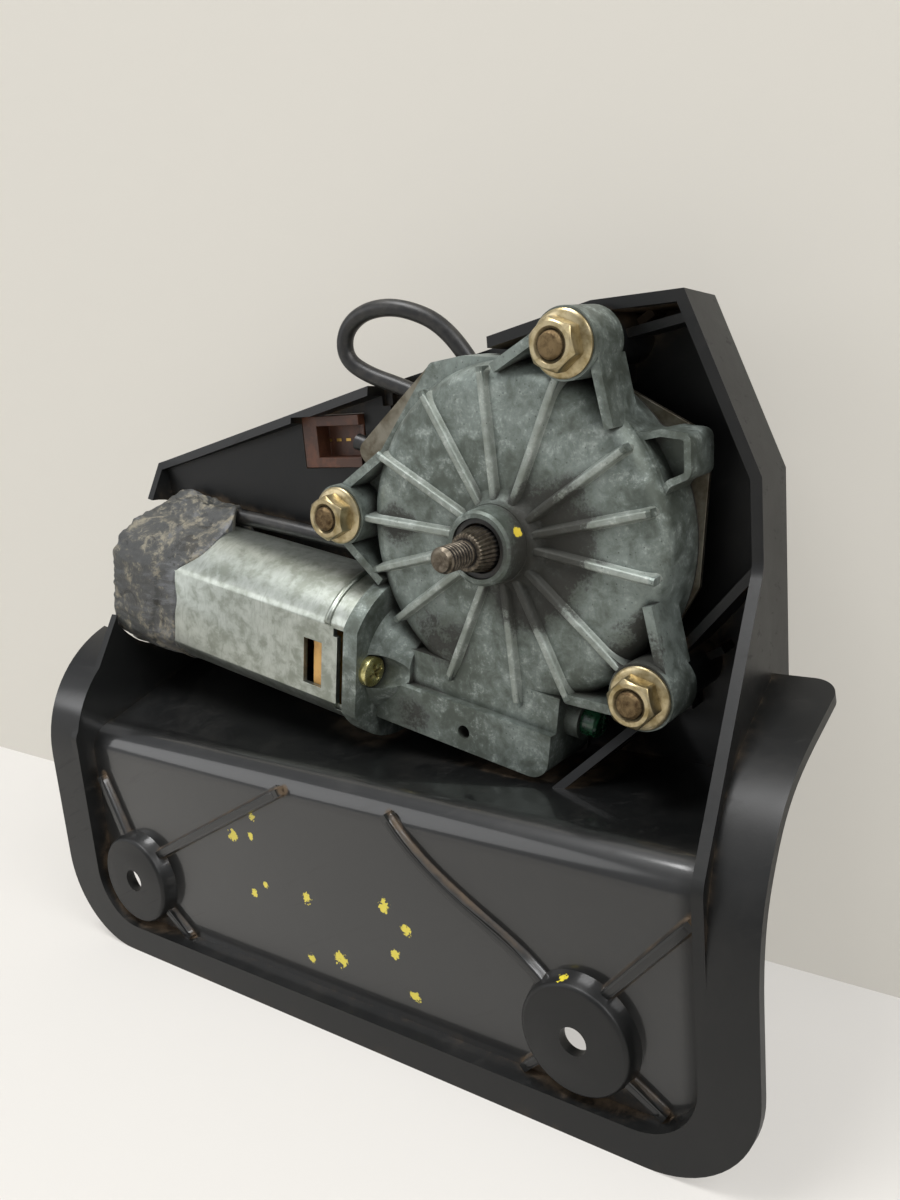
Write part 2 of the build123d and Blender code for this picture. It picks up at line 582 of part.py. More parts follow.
def spindle_bushes():
    """Two sintered bushes pressed in the hub."""
    mid = (HUB_RECESS_Y + CAVITY_FRONT_Y) / 2
    first = ring(BUSH_R, SPINDLE_R + RUN_FIT, HUB_RECESS_Y + 0.4, mid - 0.2)
    second = ring(BUSH_R, SPINDLE_R + RUN_FIT, mid + 0.2, CAVITY_FRONT_Y + 0.6)
    return Compound([first, second])


def spindle_seal():
    """Black lip seal in the mouth of the hub."""
    return ring(HUB_RECESS_R, KNURL_R + 0.35, 0.5, HUB_RECESS_Y)


def output_spindle():
    """Spindle: threaded nose, knurled cone, plain journal and wheel seat."""
    body = spin([
        (0, SPINDLE_TIP_Y), (THREAD_R - 0.7, SPINDLE_TIP_Y), (THREAD_R, SPINDLE_TIP_Y + 0.7),
        (THREAD_R, KNURL_FRONT_Y), (KNURL_TOP_R, KNURL_FRONT_Y), (KNURL_R, KNURL_FRONT_Y + 4.6),
        (KNURL_R, HUB_RECESS_Y + 0.1), (SPINDLE_R, HUB_RECESS_Y + 0.1), (SPINDLE_R, COVER_Y - 1.0),
        (SPINDLE_R - 0.8, COVER_Y - 0.2), (0, COVER_Y - 0.2)])
    return body - ring(SPINDLE_R + 1, SPINDLE_R - 0.6, CLIP_Y[0], CLIP_Y[1])


def spindle_clip():
    """Retaining ring behind the wheel."""
    clip = ring(SPINDLE_R + 2.2, SPINDLE_R - 0.6, CLIP_Y[0], CLIP_Y[1])
    return clip - Pos(0, CLIP_Y[0] + 0.5, -SPINDLE_R) * Box(4, 3, 8)


def thrust_washers():
    """Hard and fibre washers between the hub and the wheel."""
    y = CAVITY_FRONT_Y + 0.65
    gap = WHEEL_FRONT_Y - 0.05 - y
    middle = y + gap * 0.5
    return Compound([ring(9.0, SPINDLE_R, y, middle), ring(8.4, SPINDLE_R, middle, WHEEL_FRONT_Y - 0.05)])


def wheel_insert():
    """Steel hub of the wheel, pressed on the spindle, with a six-lobed plate moulded in."""
    hub = ring(8.0, SPINDLE_R, WHEEL_FRONT_Y, WHEEL_BACK_Y)
    plate = disc(15.0, WHEEL_FRONT_Y + 2.4, WHEEL_FRONT_Y + 4.6)
    for k in range(6):
        a = radians(60 * k + 30)
        plate -= disc(2.2, WHEEL_FRONT_Y, WHEEL_BACK_Y, 15.0 * cos(a), 15.0 * sin(a))
    return hub + plate - disc(SPINDLE_R, WHEEL_FRONT_Y - 1, WHEEL_BACK_Y + 1)


def worm_wheel():
    """Plastic worm wheel: webbed body and skewed teeth that clear the worm's thread."""
    body = disc(WHEEL_ROOT_R, WHEEL_FRONT_Y, WHEEL_BACK_Y)
    body -= ring(WHEEL_ROOT_R - 4.0, 16.5, WHEEL_FRONT_Y - 1, WHEEL_FRONT_Y + 2.4)
    body -= ring(WHEEL_ROOT_R - 4.0, 28.5, WHEEL_BACK_Y - 2.4, WHEEL_BACK_Y + 1)
    for k in range(8):
        dx, dz = cos(k * pi / 4), sin(k * pi / 4)
        body += bar(16.0 * dx, 16.0 * dz, 29.0 * dx, 29.0 * dz, WHEEL_FRONT_Y, WHEEL_FRONT_Y + 3, 1.6)
    pitch = 2 * pi * WHEEL_PITCH_R / WHEEL_TEETH
    half = TOOTH_FILL * pitch / 2
    slant = tan(radians(20))
    root, tip = WHEEL_ROOT_R - 0.3, WHEEL_TIP_R
    profile = make_face(Polyline(
        (root, -half - (WHEEL_PITCH_R - root) * slant), (tip, -half + (tip - WHEEL_PITCH_R) * slant),
        (tip, half - (tip - WHEEL_PITCH_R) * slant), (root, half + (WHEEL_PITCH_R - root) * slant),
        close=True))
    lead_angle = degrees(atan(LEAD / (2 * pi * WORM_PITCH_R)))
    twist = degrees(WHEEL_W * tan(radians(lead_angle)) / WHEEL_PITCH_R)
    back = Pos(0, 0, -WHEEL_W / 2) * Rot(0, 0, WHEEL_SKEW * twist / 2) * profile
    ahead = Pos(0, 0, WHEEL_W / 2) * Rot(0, 0, -WHEEL_SKEW * twist / 2) * profile
    tooth = front(loft([back, ahead], ruled=True))
    step = 360 / WHEEL_TEETH
    phase = degrees(atan2(-cos(SLOPE), -sin(SLOPE))) + WHEEL_PHASE
    teeth = [Pos(0, WHEEL_FRONT_Y + WHEEL_W / 2, 0) * Rot(0, -(phase + k * step), 0) * tooth
             for k in range(WHEEL_TEETH)]
    return body.fuse(*teeth) - wheel_insert() - disc(SPINDLE_R, WHEEL_FRONT_Y - 1, WHEEL_BACK_Y + 1)


# ---------------------------------------------------------------- gearbox cover and electrics
def rear_cover_plate():
    """Pressed steel cover with a dome over the spindle's end."""
    plate = slab(cover_outline(), COVER_Y, COVER_Y + COVER_T)
    plate += disc(10.5, COVER_Y, COVER_Y + 3.2)
    plate -= disc(9.2, COVER_Y - 1, COVER_Y + 1.9)
    for x, z in cover_screw_spots():
        plate -= disc(M4_R + 0.25, COVER_Y - 1, COVER_Y + COVER_T + 1, x, z)
    return plate


def cover_gasket():
    """Flat gasket between casting and cover."""
    sheet = slab(joint_outline() & cover_outline(), CAST_BACK_Y, COVER_Y)
    sheet -= disc(CAVITY_R, CAST_BACK_Y - 1, COVER_Y + 1)
    for x, z in cover_screw_spots():
        sheet -= disc(M4_R + 0.25, CAST_BACK_Y - 1, COVER_Y + 1, x, z)
    return sheet


def pan_screw(y_seat, y_tip, x, z):
    """Pan-head screw driven from the back."""
    head = disc(3.5, y_seat, y_seat + 2.0, x, z)
    head = chamfer(head.edges().sort_by(Axis.Y)[-1], 0.7)
    return head + disc(M4_R, y_tip, y_seat, x, z)


def cover_screws():
    """Screws that hold the cover."""
    y = COVER_Y + COVER_T
    return Compound([pan_screw(y, CAST_BACK_Y - 5.5, x, z) for x, z in cover_screw_spots()])


def park_contact_disc():
    """Slip-ring sheet on the wheel's back face with its park notch."""
    inner = ring(13.0, 9.6, WHEEL_BACK_Y, WHEEL_BACK_Y + 0.4)
    outer = ring(27.6, 14.6, WHEEL_BACK_Y, WHEEL_BACK_Y + 0.4)
    notch = slab(Rot(0, 0, 40) * Pos(24.5, 0) * Rectangle(6.4, 9.0), WHEEL_BACK_Y - 1, WHEEL_BACK_Y + 2)
    link = bar(0, 11.0, 0, 16.0, WHEEL_BACK_Y, WHEEL_BACK_Y + 0.4, 3.0)
    return outer - notch + inner + link


def contact_carrier():
    """Insulating plate inside the cover that carries the contact fingers."""
    plate = slab(Pos(0, -17.5) * RectangleRounded(38, 13, 3), COVER_Y - 1.6, COVER_Y)
    return plate + slab(Pos(-14.0, -26.5) * RectangleRounded(9, 8, 2), COVER_Y - 1.6, COVER_Y)


def contact_fingers():
    """Three sprung fingers that reach from the carrier to the slip rings."""
    fingers = []
    seat, tip = COVER_Y - 1.85, WHEEL_BACK_Y + 0.95
    for x, root, contact in FINGERS:
        side = Plane(origin=(x - 1.5, 0, 0), x_dir=(0, 1, 0), z_dir=(1, 0, 0))
        knee = root + 0.5 * (contact - root)
        path = FilletPolyline((seat, root), (seat, knee), (tip, contact), radius=0.8)
        fingers.append(extrude(side * trace(path, 0.5), 3.0))
    return Compound(fingers)


def contact_rivets():
    """Rivets through fingers and carrier."""
    spots = [(x, root + 0.22 * (contact - root)) for x, root, contact in FINGERS]
    return Compound([disc(1.2, COVER_Y - 2.55, COVER_Y - 2.1, x, z) for x, z in spots])


def thrust_plug():
    """Lacquered adjusting plug in the end of the worm tunnel."""
    body = rod(PLUG_R, TUNNEL_RIGHT_U - 1.5, TUNNEL_RIGHT_U + 7.5)
    body = chamfer(body.edges().sort_by(Axis.Z)[-1], 0.7)
    return on_motor(body - Pos(0, 0, TUNNEL_RIGHT_U + 7.5) * Box(5.0, 0.9, 2.4))


def thrust_ball():
    """Steel ball between the shaft's end and the plug."""
    return on_motor(Pos(0, 0, TUNNEL_RIGHT_U - 3.2) * Sphere(1.6))


# ---------------------------------------------------------------- motor
def can_outside():
    """Outer form of the can: flatted, rounded at its closed end, with the bearing pocket."""
    body = flatted(CAN_HALF_TALL, CAN_HALF_DEEP, CAN_LEFT_U, CAN_RIGHT_U)
    round_edges = [e for e in body.edges() if abs(e.center().Z - CAN_LEFT_U) < 0.01]
    return chamfer(round_edges, 1.8) + rod(8.2, CAN_LEFT_U - 2.6, CAN_LEFT_U + 1.0)


def motor_can():
    """Deep-drawn can with two flats, tab cut-outs, front window and bearing pocket."""
    body = can_outside()
    inside = (CAN_HALF_TALL - CAN_WALL, CAN_HALF_DEEP - CAN_WALL)
    body -= flatted(*inside, CAN_LEFT_U + CAN_WALL, CAN_RIGHT_U + 1)
    body -= rod(6.9, CAN_LEFT_U - 1.4, CAN_LEFT_U + 3.0)
    window = Box(12.4, 8, CAN_WINDOW_U[1] - CAN_WINDOW_U[0])
    body -= Pos(1.6, -CAN_HALF_DEEP, sum(CAN_WINDOW_U) / 2) * window
    for x in (-8.6, 11.8):
        body -= Pos(x, -CAN_HALF_DEEP, CAN_RIGHT_U) * Box(2.2, 5, 9.0)
    return on_motor(body)


def field_magnets():
    """Two curved ferrite magnets, above and below the armature."""
    shell = tube(MAGNET_OUT_R, MAGNET_IN_R, *MAGNET_U)
    half = CAN_HALF_DEEP - CAN_WALL - 2.0
    shell &= Pos(0, 0, sum(MAGNET_U) / 2) * Box(60, 2 * half, MAGNET_U[1] - MAGNET_U[0])
    cut = Pos(0, 0, sum(MAGNET_U) / 2) * Box(13.0, 60, 80)
    return on_motor(Compound((shell - cut).solids()))


def magnet_clips():
    """Spring clips that wedge the magnets apart along the flats."""
    clips = []
    for side in (-1, 1):
        y = side * (CAN_HALF_DEEP - CAN_WALL - 0.4)
        clip = Pos(0, y, sum(MAGNET_U) / 2) * Box(15.0, 0.8, 30.0)
        clips.append(clip)
    return on_motor(Compound(clips))


def armature_shaft():
    """Armature shaft with the worm cut in its free end."""
    body = rod(SHAFT_R, CAN_LEFT_U - 0.6, TUNNEL_RIGHT_U - 5.0)
    body -= Pos(0, 0, TUNNEL_RIGHT_U - 5.0) * Cone(0.01, 1.2, 1.2)
    return on_motor(body)


def worm():
    """Single-start worm on the shaft: a trapezoid thread swept along a helix."""
    core = rod(WORM_ROOT_R, *WORM_U)
    turns_length = WORM_U[1] - WORM_U[0] - 2.5
    helix = Helix(LEAD, turns_length, WORM_ROOT_R, center=(0, 0, WORM_U[0] + 1.25))
    half_root = LEAD * WORM_FILL / 2 + (WORM_PITCH_R - WORM_ROOT_R) * tan(radians(20))
    half_tip = LEAD * WORM_FILL / 2 - (WORM_TIP_R - WORM_PITCH_R) * tan(radians(20))
    depth = WORM_TIP_R - WORM_ROOT_R
    section = Plane(origin=helix @ 0, x_dir=(1, 0, 0), z_dir=helix % 0)
    profile = make_face(Polyline((-0.3, -half_root), (depth, -half_tip), (depth, half_tip), (-0.3, half_root),
                                 close=True))
    thread = sweep(section * profile, path=helix, is_frenet=True)
    return on_motor((core + thread) - rod(SHAFT_R, WORM_U[0] - 1, WORM_U[1] + 1))


def drive_bush():
    """Self-aligning bush in the casting's neck."""
    u0, u1 = DRIVE_BUSH_U
    body = rod(DRIVE_BUSH_R, u0, u1) - rod(SHAFT_R + RUN_FIT, u0 - 1, u1 + 1)
    rims = body.edges().filter_by(GeomType.CIRCLE).group_by(Axis.Z)[0]
    return on_motor(chamfer(rims.sort_by(SortBy.LENGTH)[-1:], 1.4))


def end_bush():
    """Self-aligning bush in the can's pocket."""
    u0, u1 = CAN_LEFT_U - 1.4, CAN_LEFT_U + 4.4
    step = CAN_LEFT_U + 1.5
    body = rod(6.9, u0, step) + Pos(0, 0, (step + u1) / 2) * Cone(6.9, 5.2, u1 - step)
    return on_motor(body - rod(SHAFT_R + RUN_FIT, u0 - 1, u1 + 1))


def bush_retainer():
    """Toothed spring washer that holds the end bush in its pocket."""
    u = CAN_LEFT_U + CAN_WALL
    washer = tube(12.0, 7.2, u, u + 0.7)
    for k in range(8):
        a = radians(45 * k)
        washer -= rod(1.3, u - 1, u + 2, 7.6 * cos(a), 7.6 * sin(a))
    return on_motor(washer)


def shaft_washers():
    """Fibre washers that set the armature's end play."""
    left = tube(5.2, SHAFT_R, CAN_LEFT_U + 5.2, CAN_LEFT_U + 6.2)
    right = tube(5.2, SHAFT_R, DRIVE_BUSH_U[0] - 2.2, DRIVE_BUSH_U[0] - 0.9)
    return on_motor(Compound([left, right]))


def lamination_stack():
    """Laminated armature core with twelve winding slots."""
    body = rod(ARMATURE_R, *STACK_U)
    mid, length = sum(STACK_U) / 2, STACK_U[1] - STACK_U[0]
    for k in range(ARMATURE_SLOTS):
        slot = Pos(9.6, 0, mid) * Box(5.0, 2.6, length + 2)
        mouth = Pos(12.8, 0, mid) * Box(2.4, 1.0, length + 2)
        body -= Rot(0, 0, 360 / ARMATURE_SLOTS * k) * (slot + mouth)
    return on_motor(body - rod(SHAFT_R, STACK_U[0] - 1, STACK_U[1] + 1))


def armature_windings():
    """Enamelled copper: a wire bundle through each slot and the wound heads at both ends."""
    body = tube(11.4, SHAFT_R + 1.6, WINDING_U[0], STACK_U[0])
    body += tube(11.4, SHAFT_R + 1.6, STACK_U[1], WINDING_U[1])
    mid, length = sum(STACK_U) / 2, STACK_U[1] - STACK_U[0]
    for k in range(ARMATURE_SLOTS):
        body += Rot(0, 0, 360 / ARMATURE_SLOTS * k) * (Pos(9.5, 0, mid) * Box(3.8, 2.2, length + 2))
    return on_motor(body)


def commutator():
    """Twelve copper bars with tangs on an insulating core."""
    bars = tube(COMM_R, 4.6, *COMM_U) + tube(COMM_R + 1.1, 4.6, COMM_U[0], COMM_U[0] + 1.6)
    mid = sum(COMM_U) / 2
    for k in range(ARMATURE_SLOTS):
        groove = Pos(COMM_R, 0, mid) * Box(4.0, 0.5, 20)
        bars -= Rot(0, 0, 360 / ARMATURE_SLOTS * (k + 0.5)) * groove
    return on_motor(bars)


def commutator_core():
    """Moulded sleeve under the commutator bars."""
    return on_motor(tube(4.6, SHAFT_R, COMM_U[0] - 1.6, COMM_U[1] + 1.5))


def brush_plate():
    """Amber insulating plate across the can, seen through its window."""
    u0, u1 = BRUSH_PLATE_U
    plate = flatted(CAN_HALF_TALL - CAN_WALL - 0.1, CAN_HALF_DEEP - CAN_WALL - 0.1, u0, u1)
    plate -= rod(9.0, u0 - 1, u1 + 1)
    for x in (-13.0, 13.0):
        plate -= rod(1.6, u0 - 1, u1 + 1, x, 9.0)
    return on_motor(plate)


def brush_boxes():
    """Two brass boxes that guide the brushes."""
    boxes = []
    for side in (-1, 1):
        box = Pos(side * 13.0, 0, BRUSH_U) * Box(9.4, 6.0, 5.6)
        box -= Pos(side * 13.0, 0, BRUSH_U) * Box(12.0, 4.8, 4.4)
        boxes.append(box)
    return on_motor(Compound(boxes))


def carbon_brushes():
    """Two carbon brushes bedded on the commutator."""
    blocks = []
    for side in (-1, 1):
        block = Pos(side * 10.4, 0, BRUSH_U) * Box(7.2, 4.6, 4.2)
        blocks.append(block - rod(COMM_R + 0.05, BRUSH_U - 4, BRUSH_U + 4))
    return on_motor(Compound(blocks))


def brush_springs():
    """Coil springs that press the brushes, drawn as sleeves of their wire."""
    springs = []
    for side in (-1, 1):
        x0, x1 = side * 14.05, side * 17.3
        spring = Pos((x0 + x1) / 2, 0, BRUSH_U) * Rot(0, 90, 0) * (Cylinder(1.7, 3.25) - Cylinder(1.1, 5))
        springs.append(spring)
    return on_motor(Compound(springs))


def suppression_chokes():
    """Two ferrite-cored chokes standing on the brush plate."""
    u0 = BRUSH_PLATE_U[1]
    return on_motor(Compound([rod(2.1, u0, u0 + 5.8, x, -8.6) for x in (-11.0, 11.0)]))


def can_screws():
    """Two yellow-zinc cross-recess screws through the flange."""
    screws = []
    seat = CAN_RIGHT_U + FLANGE_T
    for y in SCREW_OFFSETS:
        head = rod(SCREW_HEAD_R, seat, seat + SCREW_HEAD_T, y=y)
        head = chamfer(head.edges().sort_by(Axis.Z)[-1], 0.9)
        screws.append(head + rod(M4_R, CAN_RIGHT_U + 0.5, seat, y=y))
    return on_motor(Compound(screws))


def tape_wrap():
    """Black tape wound round the closed end of the can."""
    outer = flatted(CAN_HALF_TALL + TAPE_T, CAN_HALF_DEEP + TAPE_T, TAPE_LEFT_U, TAPE_RIGHT_U)
    outer = chamfer([e for e in outer.edges() if abs(e.center().Z - TAPE_LEFT_U) < 0.01], 2.4)
    inner = flatted(CAN_HALF_TALL, CAN_HALF_DEEP, CAN_LEFT_U, CAN_RIGHT_U)
    return on_motor(outer - inner - rod(8.2, CAN_LEFT_U - 6, CAN_LEFT_U + 1))


# ---------------------------------------------------------------- loom

def bend_radii(points, factor=0.45):
    """Largest even bend at each inner point, from the shorter run beside it."""
    radii = []
    for a, b, c in zip(points, points[1:], points[2:]):
        into, out = Vector(*b) - Vector(*a), Vector(*c) - Vector(*b)
        half = radians(into.get_angle(out)) / 2
        radii.append(factor * min(into.length, out.length) / tan(half))
    return radii


def loom_cable():
    """Two-core cable from the taped end, behind the gearbox, over the carrier's edge and back."""
    path = FilletPolyline(*CABLE_ROUTE, radius=bend_radii(CABLE_ROUTE))
    start = Plane(origin=path @ 0, z_dir=path % 0)
    return sweep(start * Circle(CABLE_D / 2), path=path)


def connector():
    """Brown connector body clipped into the window of the upper left plate."""
    wx, wz, ww, wh = CONNECTOR_WINDOW
    front_y = PLATE_RIGHT_Y - 3.4
    body = Pos(wx, front_y + 8.5, wz) * Box(ww - 0.4, 17.0, wh - 0.4)
    body -= Pos(wx + 2.0, front_y, wz) * Box(ww - 7.0, 10.0, wh - 6.0)
    body -= Pos(wx + ww / 2, front_y, wz) * Box(6.0, 4.0, wh - 6.0)
    body -= Pos(wx, front_y + 14.5, wz) * Box(ww - 4.0, 10.0, wh - 4.0)
    return body - connector_pins()


def connector_pins():
    """Four blade terminals inside the connector."""
    wx, wz, ww, wh = CONNECTOR_WINDOW
    pins = [Pos(wx - 5.4 + 3.6 * k, PLATE_RIGHT_Y + 4.4, wz) * Box(1.8, 5.6, 0.8) for k in range(4)]
    return Compound(pins)


PART_MAKERS = (
    bracket, mounting_studs, flange_nuts, ear_sleeves, isolators, gear_housing, spindle_bushes, spindle_seal,
    output_spindle, spindle_clip, thrust_washers, wheel_insert, worm_wheel, rear_cover_plate, cover_gasket,
    cover_screws, park_contact_disc, contact_carrier, contact_fingers, contact_rivets, thrust_plug, thrust_ball,
    motor_can, field_magnets, magnet_clips, armature_shaft, worm, drive_bush, end_bush, bush_retainer,
    shaft_washers, lamination_stack, armature_windings, commutator, commutator_core, brush_plate, brush_boxes,
    carbon_brushes, brush_springs, suppression_chokes, can_screws, tape_wrap, loom_cable, connector,
    connector_pins,
)


def main():
    """Build every sub-part about the spindle and write it with the origin between the mounting bosses."""
    os.makedirs("parts", exist_ok=True)
    to_mount = Pos(-BOSS_MID_X, -BOSS_FACE_Y, -BOSS_Z)
    print("cable bend radii", [round(r, 1) for r in bend_radii(CABLE_ROUTE)])
    for make in PART_MAKERS:
        export_step(to_mount * make(), "parts/" + make.__name__ + ".step")


if __name__ == "__main__":
    main()
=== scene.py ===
"""Looks of a windscreen wiper motor that sits on studs in its moulded carrier.

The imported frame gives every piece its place. Each sub-assembly here is a class that
dresses the frame's nodes, or puts a finer surface in place of one, and each finish is a
frozen dataclass that wires its own material. Lengths inside the classes are millimetres
measured from the spindle's joint; `Datum` turns them into the frame's metres.
"""

import json
import logging
import math
from collections.abc import Callable, Mapping, Sequence
from dataclasses import dataclass, field, replace
from enum import Enum

import bmesh
import bpy
import numpy as np
from mathutils import Matrix, Vector

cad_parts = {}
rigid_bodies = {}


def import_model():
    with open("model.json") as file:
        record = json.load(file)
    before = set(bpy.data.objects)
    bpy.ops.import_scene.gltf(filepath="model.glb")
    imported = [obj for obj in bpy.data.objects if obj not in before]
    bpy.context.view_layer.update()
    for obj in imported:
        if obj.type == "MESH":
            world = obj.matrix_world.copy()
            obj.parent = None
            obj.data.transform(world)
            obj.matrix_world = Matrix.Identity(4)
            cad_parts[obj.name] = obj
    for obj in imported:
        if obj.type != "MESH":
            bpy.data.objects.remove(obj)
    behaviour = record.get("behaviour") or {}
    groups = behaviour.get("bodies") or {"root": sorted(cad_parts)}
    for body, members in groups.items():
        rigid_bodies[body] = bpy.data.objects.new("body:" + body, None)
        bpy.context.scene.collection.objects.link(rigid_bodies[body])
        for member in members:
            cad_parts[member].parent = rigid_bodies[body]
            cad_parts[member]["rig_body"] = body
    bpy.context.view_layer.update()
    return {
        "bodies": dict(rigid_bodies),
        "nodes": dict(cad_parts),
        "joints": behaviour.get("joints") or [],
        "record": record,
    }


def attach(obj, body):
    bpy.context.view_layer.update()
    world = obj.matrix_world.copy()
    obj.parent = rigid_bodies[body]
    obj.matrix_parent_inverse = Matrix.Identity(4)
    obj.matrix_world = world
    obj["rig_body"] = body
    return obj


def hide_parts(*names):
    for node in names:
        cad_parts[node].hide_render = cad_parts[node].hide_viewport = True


LOG = logging.getLogger("wiper_motor")
MM = 0.001
MERGE_GAP = 1e-7        # metres between vertices that are the same
NODE_MERGE_GAP = 2e-6   # the same for the frame's coarser meshes
SHARP = 40.0            # degrees past which an edge of a made surface stays sharp
EDGE_ANGLE = 34.0       # degrees past which an edge of a node is rounded
FLAT_ANGLE = 0.6        # degrees under which a node's neighbouring faces become one
FORWARD = Vector((0, -1, 0))
Colour = tuple[float, float, float]
Place = tuple[float, float, float]


class Body(Enum):
    """The bodies of the part that a piece can ride on."""

    BASE = "base"
    SPINDLE = "spindle"
    ARMATURE = "armature"


class Axis(Enum):
    """The frame's axes."""

    X = "X"
    Y = "Y"
    Z = "Z"


class Operation(Enum):
    """The arithmetic steps between two signals."""

    ADD = "ADD"
    SUBTRACT = "SUBTRACT"
    MULTIPLY = "MULTIPLY"
    MAXIMUM = "MAXIMUM"


def rgb(red: int, green: int, blue: int) -> Colour:
    """Turn a display colour into the linear colour that a shader takes.

    Args:
        red: Display red from 0 to 255.
        green: Display green from 0 to 255.
        blue: Display blue from 0 to 255.

    Returns:
        The linear red, green and blue from 0 to 1.
    """
    def linear(value: int) -> float:
        """Undo the display curve of one channel."""
        part = value / 255
        return part / 12.92 if part <= 0.04045 else ((part + 0.055) / 1.055) ** 2.4
    return linear(red), linear(green), linear(blue)


# ---------------------------------------------------------------- shader authoring
class Signal:
    """A number that varies over a surface: the output socket of a shader node."""

    def __init__(self, shader: "Shader", socket: bpy.types.NodeSocket) -> None:
        """Keep the socket with the shader that it belongs to."""
        self.shader = shader
        self.socket = socket

    def __add__(self, other: "Signal | float") -> "Signal":
        """Add a number or another signal."""
        return self.shader.math(Operation.ADD, self, other)

    def __sub__(self, other: "Signal | float") -> "Signal":
        """Take a number or another signal away."""
        return self.shader.math(Operation.SUBTRACT, self, other)

    def __rsub__(self, other: float) -> "Signal":
        """Take this signal away from a number."""
        return self.shader.math(Operation.SUBTRACT, other, self)

    def __mul__(self, other: "Signal | float") -> "Signal":
        """Multiply by a number or another signal."""
        return self.shader.math(Operation.MULTIPLY, self, other)

    __radd__ = __add__
    __rmul__ = __mul__

    def step(self, low: float, high: float) -> "Signal":
        """Rise smoothly from 0 at low to 1 at high, or fall if low is above high.

        Args:
            low: Where the result is 0.
            high: Where the result is 1.

        Returns:
            The stepped signal.
        """
        rising = low < high
        ends = (low, high, 0.0, 1.0) if rising else (high, low, 1.0, 0.0)
        names = ("From Min", "From Max", "To Min", "To Max")
        made = self.shader.node(
            "ShaderNodeMapRange", {"interpolation_type": "SMOOTHSTEP"},
            {"Value": self, **dict(zip(names, ends))})
        return Signal(self.shader, made.outputs[0])

    def either(self, other: "Signal | float") -> "Signal":
        """Give the larger of the two."""
        return self.shader.math(Operation.MAXIMUM, self, other)


